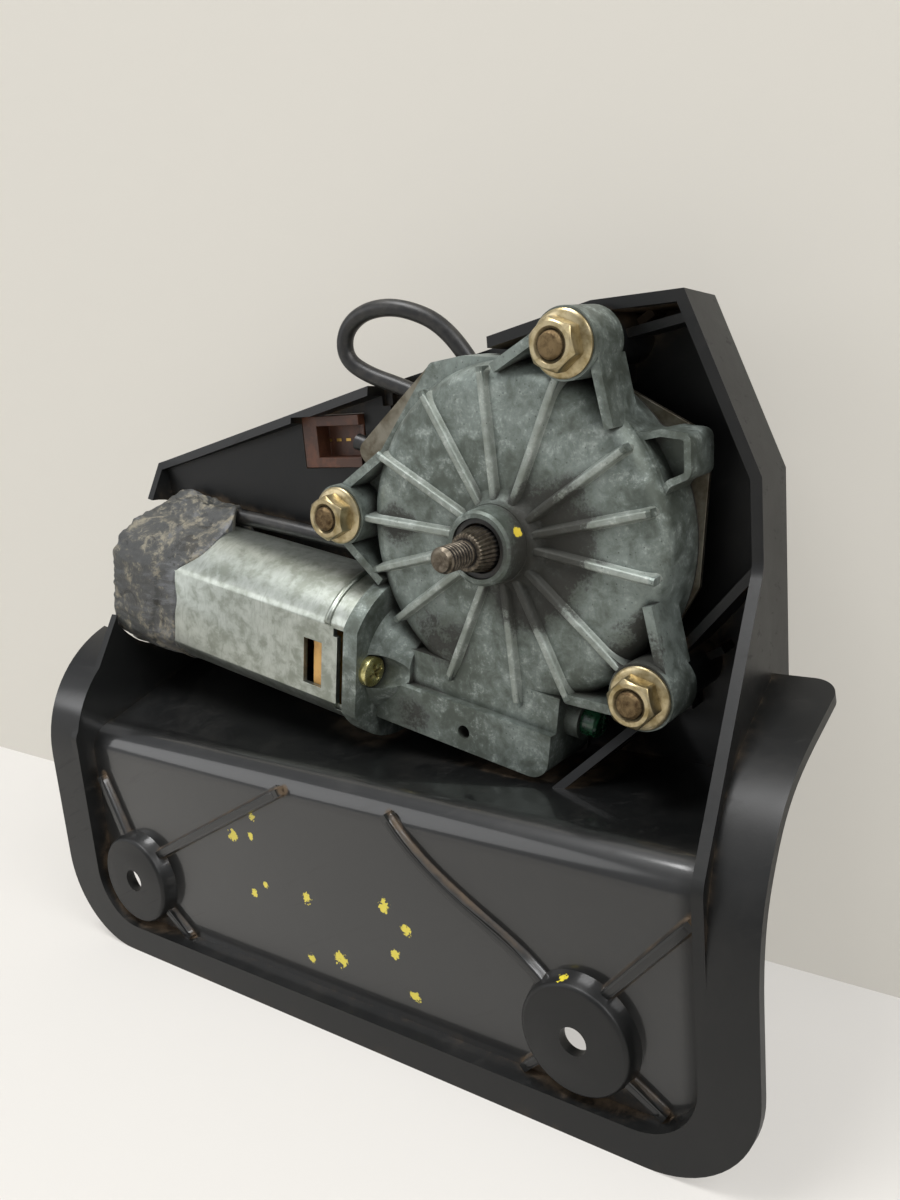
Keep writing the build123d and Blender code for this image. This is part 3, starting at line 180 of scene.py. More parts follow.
class Shader:
    """A material that is being wired."""

    def __init__(self, name: str, **plain: float | Colour) -> None:
        """Start a material with a Principled shader.

        Args:
            name: The material's name.
            plain: Socket names with underscores for spaces, and the values that are the
                same all over the surface.
        """
        self.material = bpy.data.materials.new(name)
        self.material.use_nodes = True
        self.tree = self.material.node_tree
        self.tree.nodes.clear()
        self.surface = self.node("ShaderNodeBsdfPrincipled")
        self.output = self.node("ShaderNodeOutputMaterial", None,
                                {"Surface": self.surface.outputs[0]})
        for key, value in plain.items():
            self.feed(self.surface.inputs[key.replace("_", " ")], value)
        self.place = self.node("ShaderNodeTexCoord").outputs["Object"]

    def feed(self, socket: bpy.types.NodeSocket, value: object) -> None:
        """Give a socket a link, a number or a colour.

        Args:
            socket: The input socket.
            value: A signal, an output socket, a number or a tuple.
        """
        if isinstance(value, Signal):
            value = value.socket
        if isinstance(value, bpy.types.NodeSocket):
            self.tree.links.new(value, socket)
        elif isinstance(value, tuple) and socket.type == "RGBA" and len(value) == 3:
            socket.default_value = (*value, 1.0)
        else:
            socket.default_value = value

    def node(self, kind: str, settings: Mapping[str, object] | None = None,
             sockets: Mapping[str | int, object] | None = None) -> bpy.types.Node:
        """Make any node.

        Args:
            kind: Blender's type name of the node.
            settings: Values set on the node itself.
            sockets: Values or links of its inputs, by name or number.

        Returns:
            The new node.
        """
        made = self.tree.nodes.new(kind)
        for key, value in (settings or {}).items():
            setattr(made, key, value)
        for key, value in (sockets or {}).items():
            self.feed(made.inputs[key], value)
        return made

    def math(self, operation: Operation, first: Signal | float, second: Signal | float) -> Signal:
        """Work out one arithmetic step on signals and numbers."""
        made = self.node("ShaderNodeMath", {"operation": operation.value}, {0: first, 1: second})
        return Signal(self, made.outputs[0])

    def stretched(self, scale: Place, turn: Place = (0.0, 0.0, 0.0)) -> bpy.types.NodeSocket:
        """Give the object's coordinates, turned and then scaled along each axis.

        Args:
            scale: Scales along X, Y and Z.
            turn: Rotation about X, Y and Z in radians.

        Returns:
            The coordinates' socket.
        """
        turned = self.node("ShaderNodeVectorRotate", {"rotation_type": "EULER_XYZ"},
                           {"Vector": self.place, "Rotation": turn})
        scaled = self.node("ShaderNodeVectorMath", {"operation": "MULTIPLY"},
                           {0: turned.outputs[0], 1: scale})
        return scaled.outputs[0]

    def noise(self, size: float, detail: float = 3.0, rough: float = 0.55, warp: float = 0.0,
              at: bpy.types.NodeSocket | None = None) -> Signal:
        """Make soft noise.

        Args:
            size: Typical size of a patch in millimetres.
            detail: Number of finer layers.
            rough: Strength of the finer layers.
            warp: Distortion.
            at: Coordinates to use in place of the object's.

        Returns:
            A signal around 0.5.
        """
        made = self.node("ShaderNodeTexNoise", {"noise_dimensions": "3D"}, {
            "Vector": at or self.place, "Scale": 1 / (size * MM), "Detail": detail,
            "Roughness": rough, "Distortion": warp})
        return Signal(self, made.outputs[0])

    def cells(self, size: float) -> Signal:
        """Make the distance to the nearest of scattered points.

        Args:
            size: Mean spacing of the points in millimetres.

        Returns:
            The distance in units of the spacing.
        """
        made = self.node("ShaderNodeTexVoronoi", None, {
            "Vector": self.place, "Scale": 1 / (size * MM), "Randomness": 1.0})
        return Signal(self, made.outputs["Distance"])

    def axis(self, axis: Axis) -> Signal:
        """Give one of the object's coordinates in metres."""
        split = self.node("ShaderNodeSeparateXYZ", None, {0: self.place})
        return Signal(self, split.outputs[axis.value])

    def facing_up(self) -> Signal:
        """Give 1 where the surface faces up, 0 on its sides and -1 below."""
        normal = self.node("ShaderNodeNewGeometry").outputs["Normal"]
        split = self.node("ShaderNodeSeparateXYZ", None, {0: normal})
        return Signal(self, split.outputs[Axis.Z.value])

    def crevice(self, reach: float) -> Signal:
        """Give 1 deep in corners and 0 on open faces.

        Args:
            reach: How far around a point its neighbours count, in millimetres.

        Returns:
            The closeness of the surroundings.
        """
        made = self.node("ShaderNodeAmbientOcclusion", {"samples": 8}, {"Distance": reach * MM})
        return 1.0 - Signal(self, made.outputs["AO"])

    def near(self, spot: Sequence[float], reach: float) -> Signal:
        """Give 1 at a point, falling to 0 at a distance.

        Args:
            spot: The point in the frame's metres.
            reach: The distance in millimetres at which the signal reaches 0.

        Returns:
            The closeness to the point.
        """
        made = self.node("ShaderNodeVectorMath", {"operation": "DISTANCE"},
                         {0: self.place, 1: tuple(spot)})
        return Signal(self, made.outputs["Value"]).step(reach * MM, 0.0)

    def along(self, start: Sequence[float], end: Sequence[float], reach: float) -> Signal:
        """Give 1 on a straight line, falling to 0 at a distance.

        The nearest place on the line is start + t * (end - start), with t the point's
        projection on the line, kept between 0 and 1.

        Args:
            start: The line's first end in the frame's metres.
            end: Its other end.
            reach: The distance in millimetres at which the signal reaches 0.

        Returns:
            The closeness to the line.
        """
        run = tuple(b - a for a, b in zip(start, end))
        squared = sum(part * part for part in run)
        offset = self.node("ShaderNodeVectorMath", {"operation": "SUBTRACT"},
                           {0: self.place, 1: tuple(start)})
        along = self.node("ShaderNodeVectorMath", {"operation": "DOT_PRODUCT"},
                          {0: offset.outputs[0], 1: tuple(part / squared for part in run)})
        kept = self.node("ShaderNodeClamp", None, {0: along.outputs["Value"]})
        foot = self.node("ShaderNodeVectorMath", {"operation": "SCALE"},
                         {0: run, "Scale": kept.outputs[0]})
        gap = self.node("ShaderNodeVectorMath", {"operation": "DISTANCE"},
                        {0: offset.outputs[0], 1: foot.outputs[0]})
        return Signal(self, gap.outputs["Value"]).step(reach * MM, 0.0)

    def mix(self, mask: Signal | float, first: object, second: object) -> bpy.types.NodeSocket:
        """Mix two colours.

        Args:
            mask: 0 for the first colour and 1 for the second.
            first: A colour or a link.
            second: A colour or a link.

        Returns:
            The mixed colour's socket.
        """
        made = self.node("ShaderNodeMix", {"data_type": "RGBA"}, {0: mask, 6: first, 7: second})
        return made.outputs[2]

    def relief(self, *layers: tuple[Signal, float]) -> None:
        """Give the surface fine relief.

        Args:
            layers: Height signals, each with its depth in millimetres.
        """
        height = None
        for signal, depth in layers:
            part = signal * (depth * MM)
            height = part if height is None else height + part
        bump = self.node("ShaderNodeBump", None,
                         {"Height": height, "Distance": 1.0, "Strength": 1.0})
        self.feed(self.surface.inputs["Normal"], bump.outputs[0])

    def paint(self, **sockets: object) -> None:
        """Feed the Principled shader's sockets, named with underscores for spaces."""
        for key, value in sockets.items():
            self.feed(self.surface.inputs[key.replace("_", " ")], value)


_MADE: dict[object, bpy.types.Material] = {}    # one material for each finish


class Finish:
    """A surface finish; each kind wires one material and shares it between pieces."""

    def wire(self) -> Shader:
        """Wire the finish's shader."""
        raise NotImplementedError

    def material(self) -> bpy.types.Material:
        """Give the finish's material, made the first time it is asked for."""
        if self not in _MADE:
            _MADE[self] = self.wire().material
        return _MADE[self]


@dataclass(frozen=True)
class MouldedPlastic(Finish):
    """Injection-moulded black plastic, glossy where rubbed, with road dust in its corners."""

    name: str = "moulded black plastic"
    base: Colour = rgb(11, 12, 12)
    worn: Colour = rgb(34, 33, 31)
    dust: Colour = rgb(98, 82, 64)
    paint: Colour = rgb(206, 190, 52)
    gloss_x: tuple[float, float] = (0.100, 0.096)
    gloss_y: tuple[float, float] = (0.0015, 0.003)
    gloss_z: tuple[float, float] = (0.056, 0.050)
    dusty_lines: tuple[tuple[Place, Place, float], ...] = ()
    drops: tuple[tuple[Place, float], ...] = ()

    def wire(self) -> Shader:
        """Mix the plain plastic with scuffs, a dry film, dust in corners and drops of paint."""
        shader = Shader(self.name, Specular_IOR_Level=0.36, Coat_Roughness=0.11)
        film = shader.noise(30, detail=4, rough=0.6, warp=0.4)
        patch = shader.noise(6, detail=5, rough=0.68, warp=0.2)
        grain = shader.noise(0.4, detail=2, rough=0.6)
        combed = shader.stretched((0.2, 1.0, 2.4), (0.2, 0.5, 0.1))
        hairs = shader.noise(5, detail=3, rough=0.7, warp=0.2, at=combed).step(0.60, 0.70)
        level = shader.facing_up().step(0.2, 1.0)
        corner = shader.crevice(8.0)
        dusty = (corner * (patch * 1.5 + 0.05)).step(0.36, 0.80)
        for start, end, reach in self.dusty_lines:
            line = shader.along(start, end, reach) * (patch * 1.6 + 0.05)
            dusty = dusty.either(line.step(0.22, 0.75))
        veil = (film * 0.6 + patch * 0.4).step(0.44, 0.66) * (0.22 + level * 0.25)
        tone = shader.mix(veil, self.base, self.worn)
        tone = shader.mix(hairs * 0.22, tone, self.worn)
        tone = shader.mix(dusty * 0.8, tone, self.dust)
        wet = None
        for spot, reach in self.drops:
            ragged = shader.noise(1.5, detail=3, rough=0.6, warp=1.2) * 1.1
            drop = (shader.near(spot, reach * 1.5) * 0.6 + ragged).step(0.93, 0.99)
            wet = drop if wet is None else wet.either(drop)
        if wet is not None:
            tone = shader.mix(wet, tone, self.paint)
        recessed = shader.axis(Axis.Y).step(*self.gloss_y) * shader.axis(Axis.Z).step(*self.gloss_z)
        recessed = recessed * shader.axis(Axis.X).step(*self.gloss_x) * (1.0 - dusty)
        shader.paint(Base_Color=tone, Coat_Weight=recessed * 0.85,
                     Roughness=0.30 + film * 0.14 + patch * 0.12 + dusty * 0.4 + hairs * 0.1)
        shader.relief((grain, 0.010), (patch, 0.022), (film, 0.05))
        return shader


@dataclass(frozen=True)
class DieCasting(Finish):
    """Bare zinc-alloy die casting: mottled blue-grey, greasy round the hub, painted shade in
    corners.
    """

    name: str = "die-cast alloy"
    base: Colour = rgb(124, 133, 128)
    pale: Colour = rgb(170, 177, 171)
    soot: Colour = rgb(78, 84, 77)
    grime_and_shade: Colour = rgb(30, 27, 21)
    paint: Colour = rgb(214, 190, 60)
    hub: Place = (0.0, 0.0, 0.0)
    stains: tuple[tuple[Place, float], ...] = ()
    drop: Place = (0.0, 0.0, 0.0)

    def wire(self) -> Shader:
        """Mottle the alloy, paint shade into corners, then lay dark grease near the hub and in a
        few stains.
        """
        shader = Shader(self.name)
        mottle = shader.noise(4.5, detail=6, rough=0.68, warp=0.3)
        cloud = shader.noise(22, detail=3, rough=0.5)
        speck = shader.noise(0.8, detail=3, rough=0.6)
        pits = shader.cells(1.6).step(0.16, 0.04) * cloud.step(0.45, 0.6)
        corner = shader.crevice(4.5)
        near_hub = shader.near(self.hub, 30)
        # Painted shade: the corner term darkens the hollows; the hub, mottle and stain terms are
        # real dirt.
        grime_and_shade_sum = corner * 1.25 + near_hub * 0.42 + (mottle + -0.5) * 1.1 + (speck + -0.5) * 0.5
        for spot, reach in self.stains:
            grime_and_shade_sum = grime_and_shade_sum + shader.near(spot, reach * 1.8) * (mottle * 1.5 + speck * 0.5)
        grime_and_shade_mask = grime_and_shade_sum.step(0.42, 1.0)
        tone = shader.mix((cloud * 0.4 + mottle * 0.6).step(0.38, 0.64), self.soot, self.base)
        tone = shader.mix((mottle * 0.6 + speck * 0.4).step(0.52, 0.70) * 0.7, tone, self.pale)
        tone = shader.mix((grime_and_shade_mask * 0.9).either(pits * 0.6), tone, self.grime_and_shade)
        marked = (shader.near(self.drop, 2.4) + (speck + -0.5)).step(0.35, 0.55)
        tone = shader.mix(marked, tone, self.paint)
        shader.paint(Base_Color=tone, Roughness=0.40 + mottle * 0.22 + grime_and_shade_mask * 0.2,
                     Metallic=0.55 - grime_and_shade_mask * 0.4 - marked * 0.1)
        shader.relief((speck, 0.035), (mottle, 0.06))
        return shader


@dataclass(frozen=True)
class PlatedSteel(Finish):
    """Plated or bare steel with a drawn grain, small stains, and dirt and painted shade in its
    corners.
    """

    name: str
    base: Colour
    stain: Colour
    grime_and_shade: Colour
    rough: float
    spangle: float
    grime_and_shade_amount: float
    reach: float = 3.5
    drawn: float = 0.0
    deep: tuple[float, float] = (0.35, 0.95)
    drawn_turn: Place = (0.0, -0.177, 0.0)

    def wire(self) -> Shader:
        """Blotch the plating and darken its corners with dirt and painted shade."""
        shader = Shader(self.name)
        blotch = shader.noise(self.spangle, detail=4, rough=0.6, warp=0.3)
        cloud = shader.noise(18, detail=3, rough=0.5)
        grain = shader.noise(0.5, detail=3, rough=0.6)
        drawn = shader.stretched((3.0, 0.5, 0.5), self.drawn_turn)
        lines = shader.noise(3.0, detail=4, rough=0.7, warp=0.0, at=drawn)
        # Painted shade: corners and grooves darken towards the dirt colour, with less metal and
        # more roughness.
        corner = (shader.crevice(self.reach) * (blotch + 0.6)).step(*self.deep)
        corner = corner * self.grime_and_shade_amount
        streaks = lines.step(0.45, 0.7) * self.drawn
        stained = (blotch * 0.6 + cloud * 0.4).step(0.40, 0.64).either(streaks)
        tone = shader.mix(stained, self.base, self.stain)
        tone = shader.mix(corner, tone, self.grime_and_shade)
        shader.paint(Base_Color=tone, Roughness=self.rough + blotch * 0.16 + corner * 0.3,
                     Metallic=0.95 - corner * 0.6)
        shader.relief((grain, 0.008), (blotch, 0.015))
        return shader


@dataclass(frozen=True)
class OldTape(Finish):
    """Vinyl tape gone grey: creased, with worn pale patches, dust and a few bare dark places."""

    name: str = "old tape"
    base: Colour = rgb(58, 59, 58)
    pale: Colour = rgb(132, 126, 110)
    bluish: Colour = rgb(112, 114, 118)
    dark: Colour = rgb(30, 29, 26)

    def wire(self) -> Shader:
        """Lay torn patches of dust and wear over the vinyl, and paint shade into its creases."""
        shader = Shader(self.name, Specular_IOR_Level=0.4)
        torn = shader.noise(13, detail=6, rough=0.72, warp=1.2)
        cloud = shader.noise(22, detail=3, rough=0.5)
        fine = shader.noise(1.6, detail=4, rough=0.7, warp=0.6)
        lengthwise = shader.stretched((0.35, 1.6, 1.6))
        threads = shader.noise(2.2, detail=4, rough=0.7, warp=0.3, at=lengthwise)
        dusty = (torn * 0.66 + fine * 0.34).step(0.49, 0.62)
        rubbed = (cloud * 0.7 + threads * 0.3).step(0.50, 0.60)
        bare = shader.noise(7, detail=5, rough=0.7, warp=0.9).step(0.60, 0.64)
        tone = shader.mix(rubbed * 0.55, self.base, self.bluish)
        tone = shader.mix(dusty * (0.35 + fine * 0.8), tone, self.pale)
        tone = shader.mix(bare * 0.75, tone, self.dark)
        # Painted shade: creases and the hollows at the tape's edges darken towards the dark colour.
        tone = shader.mix(shader.crevice(2.0).step(0.35, 0.9) * 0.6, tone, self.dark)
        shader.paint(Base_Color=tone, Roughness=0.34 + dusty * 0.35 + fine * 0.2)
        shader.relief((torn, 0.25), (fine, 0.14), (threads, 0.06))
        return shader


@dataclass(frozen=True)
class Plain(Finish):
    """A lightly mottled finish, with painted shade in its corners, for small, hidden or soft
    pieces.
    """

    name: str
    base: Colour
    fleck: Colour
    rough: float = 0.5
    metal: float = 0.0
    coat: float = 0.0
    size: float = 3.0
    depth: float = 0.02

    def wire(self) -> Shader:
        """Mottle the base colour with flecks and paint shade into its corners."""
        shader = Shader(self.name, Metallic=self.metal, Coat_Weight=self.coat)
        mottle = shader.noise(self.size, detail=4, rough=0.6)
        corner = shader.crevice(2.5).step(0.3, 1.0)
        tone = shader.mix(mottle.step(0.42, 0.66), self.base, self.fleck)
        # Painted shade: corners darken towards a third of the base colour.
        tone = shader.mix(corner * 0.5, tone, tuple(0.35 * c for c in self.base))
        shader.paint(Base_Color=tone, Roughness=self.rough + mottle * 0.12)
        shader.relief((shader.noise(self.size * 0.2, detail=3), self.depth))
        return shader


# ---------------------------------------------------------------- mesh authoring
@dataclass(frozen=True)
class Datum:
    """The place of the spindle's joint, and how millimetres from it become metres."""

    origin: Place

    def at(self, x: float, y: float, z: float) -> np.ndarray:
        """Turn one point into the frame's metres."""
        return self.all(np.array((x, y, z)))

    def all(self, points: np.ndarray) -> np.ndarray:
        """Turn an array of points, three numbers last, into the frame's metres."""
        return np.array(self.origin) + np.asarray(points, float) * MM


@dataclass(frozen=True)
class MotorAxis:
    """The motor's sloping axis, which passes below and behind the spindle's."""

    datum: Datum
    slope: float = 10.15
    distance: float = 39.5
    depth: float = 17.0

    def at(self, along: np.ndarray | float, away: np.ndarray | float,
           back: np.ndarray | float) -> np.ndarray:
        """Turn places on the motor into the frame's metres.

        Args:
            along: Distance along the axis, towards the plug.
            away: Distance from the axis, away from the spindle.
            back: Distance behind the axis.

        Returns:
            The points, three numbers last.
        """
        tilt = math.radians(self.slope)
        reach = away + self.distance
        x = along * math.cos(tilt) - reach * math.sin(tilt)
        z = -along * math.sin(tilt) - reach * math.cos(tilt)
        return self.datum.all(np.stack(np.broadcast_arrays(x, back + self.depth, z), axis=-1))

    def direction(self) -> Vector:
        """Give the direction of the axis, towards the plug."""
        tilt = math.radians(self.slope)
        return Vector((math.cos(tilt), 0.0, -math.sin(tilt)))


def add_mesh(name: str, vertices: np.ndarray, faces: Sequence[Sequence[int]] | np.ndarray,
             sharp: float = SHARP) -> bpy.types.Object:
    """Make an object from arrays, with its doubles merged and its normals outwards.

    Args:
        name: The object's name.
        vertices: Points in the frame's metres.
        faces: Vertex numbers of each face.
        sharp: Edges bent by more than this many degrees stay sharp.

    Returns:
        The new object.
    """
    mesh = bpy.data.meshes.new(name)
    mesh.from_pydata(vertices.reshape(-1, 3).tolist(), [], np.asarray(faces).tolist())
    tidy(mesh)
    thing = bpy.data.objects.new(name, mesh)
    bpy.context.scene.collection.objects.link(thing)
    smooth(mesh, sharp)
    return thing


def tidy(mesh: bpy.types.Mesh) -> None:
    """Merge doubles, drop collapsed faces and turn every normal outwards.

    Args:
        mesh: The mesh to change.
    """
    work = bmesh.new()
    work.from_mesh(mesh)
    bmesh.ops.remove_doubles(work, verts=work.verts, dist=MERGE_GAP)
    bmesh.ops.dissolve_degenerate(work, edges=work.edges, dist=MERGE_GAP)
    bmesh.ops.recalc_face_normals(work, faces=work.faces)
    work.to_mesh(mesh)
    work.free()


def smooth(mesh: bpy.types.Mesh, sharp: float) -> None:
    """Shade a mesh smooth, apart from edges bent by more than sharp degrees."""
    mesh.shade_smooth()
    mesh.set_sharp_from_angle(angle=math.radians(sharp))


def grid_faces(rows: int, columns: int, wrap_rows: bool) -> np.ndarray:
    """Number the quads of a grid of vertices, stored row by row, each row closed on itself.

    Args:
        rows: Number of rows of vertices.
        columns: Number of vertices in a row.
        wrap_rows: Whether the last row joins the first.

    Returns:
        One row of four vertex numbers for each quad.
    """
    i, j = np.meshgrid(np.arange(rows - (not wrap_rows)), np.arange(columns), indexing="ij")
    i, j = i.ravel(), j.ravel()
    down, over = (i + 1) % rows, (j + 1) % columns
    corners = [i * columns + j, i * columns + over, down * columns + over, down * columns + j]
    return np.stack(corners, axis=1)


def add_grid(name: str, points: np.ndarray, wrap_rows: bool = False,
             sharp: float = SHARP) -> bpy.types.Object:
    """Make an object from a grid of points (rows, columns, 3) in the frame's metres."""
    rows, columns = points.shape[:2]
    return add_mesh(name, points, grid_faces(rows, columns, wrap_rows), sharp)


def join(name: str, things: Sequence[bpy.types.Object]) -> bpy.types.Object:
    """Join several mesh objects into the first and rename it.

    Args:
        name: The joined object's name.
        things: The objects; their modifiers are left behind.

    Returns:
        The joined object.
    """
    work = bmesh.new()
    for thing in things:
        work.from_mesh(thing.data)
    first = things[0]
    work.to_mesh(first.data)
    work.free()
    for thing in things[1:]:
        bpy.data.objects.remove(thing)
    first.name = name
    smooth(first.data, SHARP)
    return first


# A wave takes arrays of turn, radius and height and gives the changed radius and height. A
# face takes arrays of x and z and gives its y at each.
Wave = Callable[[np.ndarray, np.ndarray, np.ndarray], tuple[np.ndarray, np.ndarray]]
Face = Callable[[np.ndarray, np.ndarray], np.ndarray]


def threaded(pitch: float, depth: float, start: float, end: float) -> Wave:
    """Make a wave that cuts a screw thread.

    The radius drops by depth * groove, where groove is a flat-topped triangle wave of
    height / pitch - turn / full circle, and fades out over half a pitch at both ends.

    Args:
        pitch: Distance between crests in millimetres.
        depth: Depth of the groove.
        start: Height at which the thread begins.
        end: Height at which it ends.

    Returns:
        The wave, for `lathe`.
    """
    def wave(turn: np.ndarray, radius: np.ndarray,
             height: np.ndarray) -> tuple[np.ndarray, np.ndarray]:
        """Cut the groove into each row.

        Args:
            turn: Each point's angle in radians.
            radius: Its distance from the axis.
            height: Its place along the axis.

        Returns:
            The changed radius and height.
        """
        steepness, crest = 1.3, 0.15
        part = np.mod(height / pitch - turn / (2 * math.pi), 1.0)
        groove = np.clip(steepness * (1 - np.abs(2 * part - 1)) - crest, 0, 1)
        inside = np.clip((height - start) * 2 / pitch, 0, 1)
        inside = inside * np.clip((end - height) * 2 / pitch, 0, 1)
        return radius - depth * groove * inside, height
    return wave


def crown(across: float, base: float, offset: float) -> Wave:
    """Make a wave that turns a nut's upper rows into a hexagon with a chamfered crown.

    Above the base the radius is the smaller of the row's own, which is the crown's cone, and
    half the width across flats over cos(turn within its sixth).

    Args:
        across: Width across flats in millimetres.
        base: Height above which the rows are hexagons.
        offset: Turn of the hexagon in degrees.

    Returns:
        The wave, for `lathe`.
    """
    def wave(turn: np.ndarray, radius: np.ndarray,
             height: np.ndarray) -> tuple[np.ndarray, np.ndarray]:
        """Pull the rows in to the six flats.

        Args:
            turn: Each point's angle in radians.
            radius: Its distance from the axis.
            height: Its place along the axis.

        Returns:
            The changed radius and height.
        """
        within = np.mod(turn + math.radians(offset), math.pi / 3) - math.pi / 6
        flats = across / 2 / np.cos(within)
        past_bore = 0.36 * across
        outer = (height >= base) & (radius > past_bore)
        return np.where(outer, np.minimum(radius, flats), radius), height
    return wave


def cross_recess(reach: float, width: float, depth: float, turn_by: float) -> Wave:
    """Make a wave that sinks a cross into a screw's head.

    The height drops by depth inside two crossed slots of the given reach and width, with
    sides that slope over 0.12 mm and ends that slope over 0.3 mm, less deep further out.

    Args:
        reach: Half the length of a slot in millimetres.
        width: Width of a slot.
        depth: Depth at the middle.
        turn_by: Turn of the cross in degrees.

    Returns:
        The wave, for `lathe`.
    """
    def wave(turn: np.ndarray, radius: np.ndarray,
             height: np.ndarray) -> tuple[np.ndarray, np.ndarray]:
        """Sink the rows inside the cross.

        Args:
            turn: Each point's angle in radians.
            radius: Its distance from the axis.
            height: Its place along the axis.

        Returns:
            The changed radius and height.
        """
        side_slope, end_slope = 0.12, 0.3
        spot = turn + math.radians(turn_by)
        across, along = np.abs(radius * np.cos(spot)), np.abs(radius * np.sin(spot))
        inside = np.zeros_like(radius)
        for a, b in ((across, along), (along, across)):
            side = np.clip((width / 2 - a) / side_slope + 0.5, 0, 1)
            inside = np.maximum(inside, side * np.clip((reach - b) / end_slope, 0, 1))
        shallower = 1 - 0.3 * np.clip(radius / reach, 0, 1)
        return radius, height - depth * inside * (height > 0) * shallower
    return wave


def lathe(name: str, profile: Sequence[tuple[float, float]], centre: np.ndarray, axis: Vector,
          segments: int, wave: Wave | None = None, sharp: float = SHARP) -> bpy.types.Object:
    """Turn a profile about an axis.

    A point at radius r and height h goes to centre + h * axis + r * (cos t * side + sin t * up),
    where t runs round the full circle.

    Args:
        name: The object's name.
        profile: Radius and height pairs in millimetres, from pole to pole or closed on itself.
        centre: The axis's zero point in the frame's metres.
        axis: Direction of height.
        segments: Number of steps round the circle.
        wave: Changes each point's (radius, height), given its angle too.
        sharp: Edges bent by more than this many degrees stay sharp.

    Returns:
        The turned object.
    """
    rows = np.asarray(profile, float)
    turn = np.linspace(0, 2 * math.pi, segments, endpoint=False)
    radius = np.repeat(rows[:, :1], segments, axis=1)
    height = np.repeat(rows[:, 1:], segments, axis=1)
    if wave is not None:
        radius, height = wave(np.broadcast_to(turn, radius.shape), radius, height)
    forward = np.array(axis.normalized())
    side = np.array(axis.orthogonal().normalized())
    up = np.cross(forward, side)
    round_ = np.cos(turn)[None, :, None] * side + np.sin(turn)[None, :, None] * up
    points = centre + MM * (height[..., None] * forward + radius[..., None] * round_)
    closed = bool(np.allclose(rows[0], rows[-1]))
    if closed:
        points = points[:-1]
    return add_grid(name, points, wrap_rows=closed, sharp=sharp)


def ridge(name: str, datum: Datum, path: np.ndarray, face: Face,
          crest: float, half_width: float, taper: float) -> bpy.types.Object:
    """Lay a low round-crested rib along a path over a face.

    At t across the path and s along it the rib stands (face - crest) * exp(-(t / half width)^6)
    * end(s) in front of the face, where end rises smoothly from 0 to 1 over the taper.

    Args:
        name: The object's name.
        datum: Turns millimetres into the frame's metres.
        path: Points (x, z) along the middle.
        face: Gives the face's Y at arrays of x and z.
        crest: Y of the crest.
        half_width: Distance from the middle at which about a third of the height is left.
        taper: Length of each rounded end.

    Returns:
        The closed rib, its underside sunk in the face.
    """
    steps = np.gradient(path, axis=0)
    steps /= np.linalg.norm(steps, axis=1)[:, None]
    across = np.stack([-steps[:, 1], steps[:, 0]], axis=1)
    run = np.concatenate([[0.0], np.cumsum(np.linalg.norm(np.diff(path, axis=0), axis=1))])
    nearest_end = np.minimum(run, run[-1] - run) / taper
    end = np.sqrt(np.clip(1 - (1 - np.clip(nearest_end, 0, 1)) ** 2, 0, 1))
    steps_across, end_width, foot, sunk = 23, 0.25, 0.03, 0.6
    t = np.linspace(-1.5, 1.5, steps_across) * half_width
    bell = np.exp(-(t / half_width) ** 6)
    width = end_width + (1 - end_width) * end
    spots = path[:, None, :] + t[None, :, None] * across[:, None, :] * width[:, None, None]
    under = face(spots[..., 0], spots[..., 1])
    top = under + foot - (under - crest) * bell[None, :] * end[:, None]
    top = np.stack([spots[..., 0], top, spots[..., 1]], axis=-1)
    low = np.stack([spots[:, ::-1, 0], under[:, ::-1] + sunk, spots[:, ::-1, 1]], axis=-1)
    low = low[:, ::steps_across // 2]
    ring = np.concatenate([top, low], axis=1)
    tip = [np.broadcast_to(ring[k].mean(axis=0), ring[k].shape)[None] for k in (0, -1)]
    return add_grid(name, datum.all(np.concatenate([tip[0], ring, tip[1]])), sharp=50.0)


def crumple(across: np.ndarray, along: np.ndarray, seed: int, size: float) -> np.ndarray:
    """Make smooth irregular waves between about -1 and 1.

    The sum of eight sine waves, each shorter and lower than the last, with a seeded
    direction and start.

    Args:
        across: Distances one way in millimetres.
        along: Distances the other way.
        seed: Chooses the waves.
        size: Length of the longest wave.

    Returns:
        The waves' height at each place.
    """
    waves, shorter, lower, spread = 8, 0.78, 0.85, 2.6
    chance = np.random.default_rng(seed)
    total = np.zeros(np.broadcast(across, along).shape)
    for octave in range(waves):
        turn, start = chance.uniform(0, 2 * math.pi, 2)
        scale = 2 * math.pi / (size * shorter ** octave)
        place = across * math.cos(turn) + along * math.sin(turn)
        total = total + lower ** octave * np.sin(scale * place + start)
    return total / spread


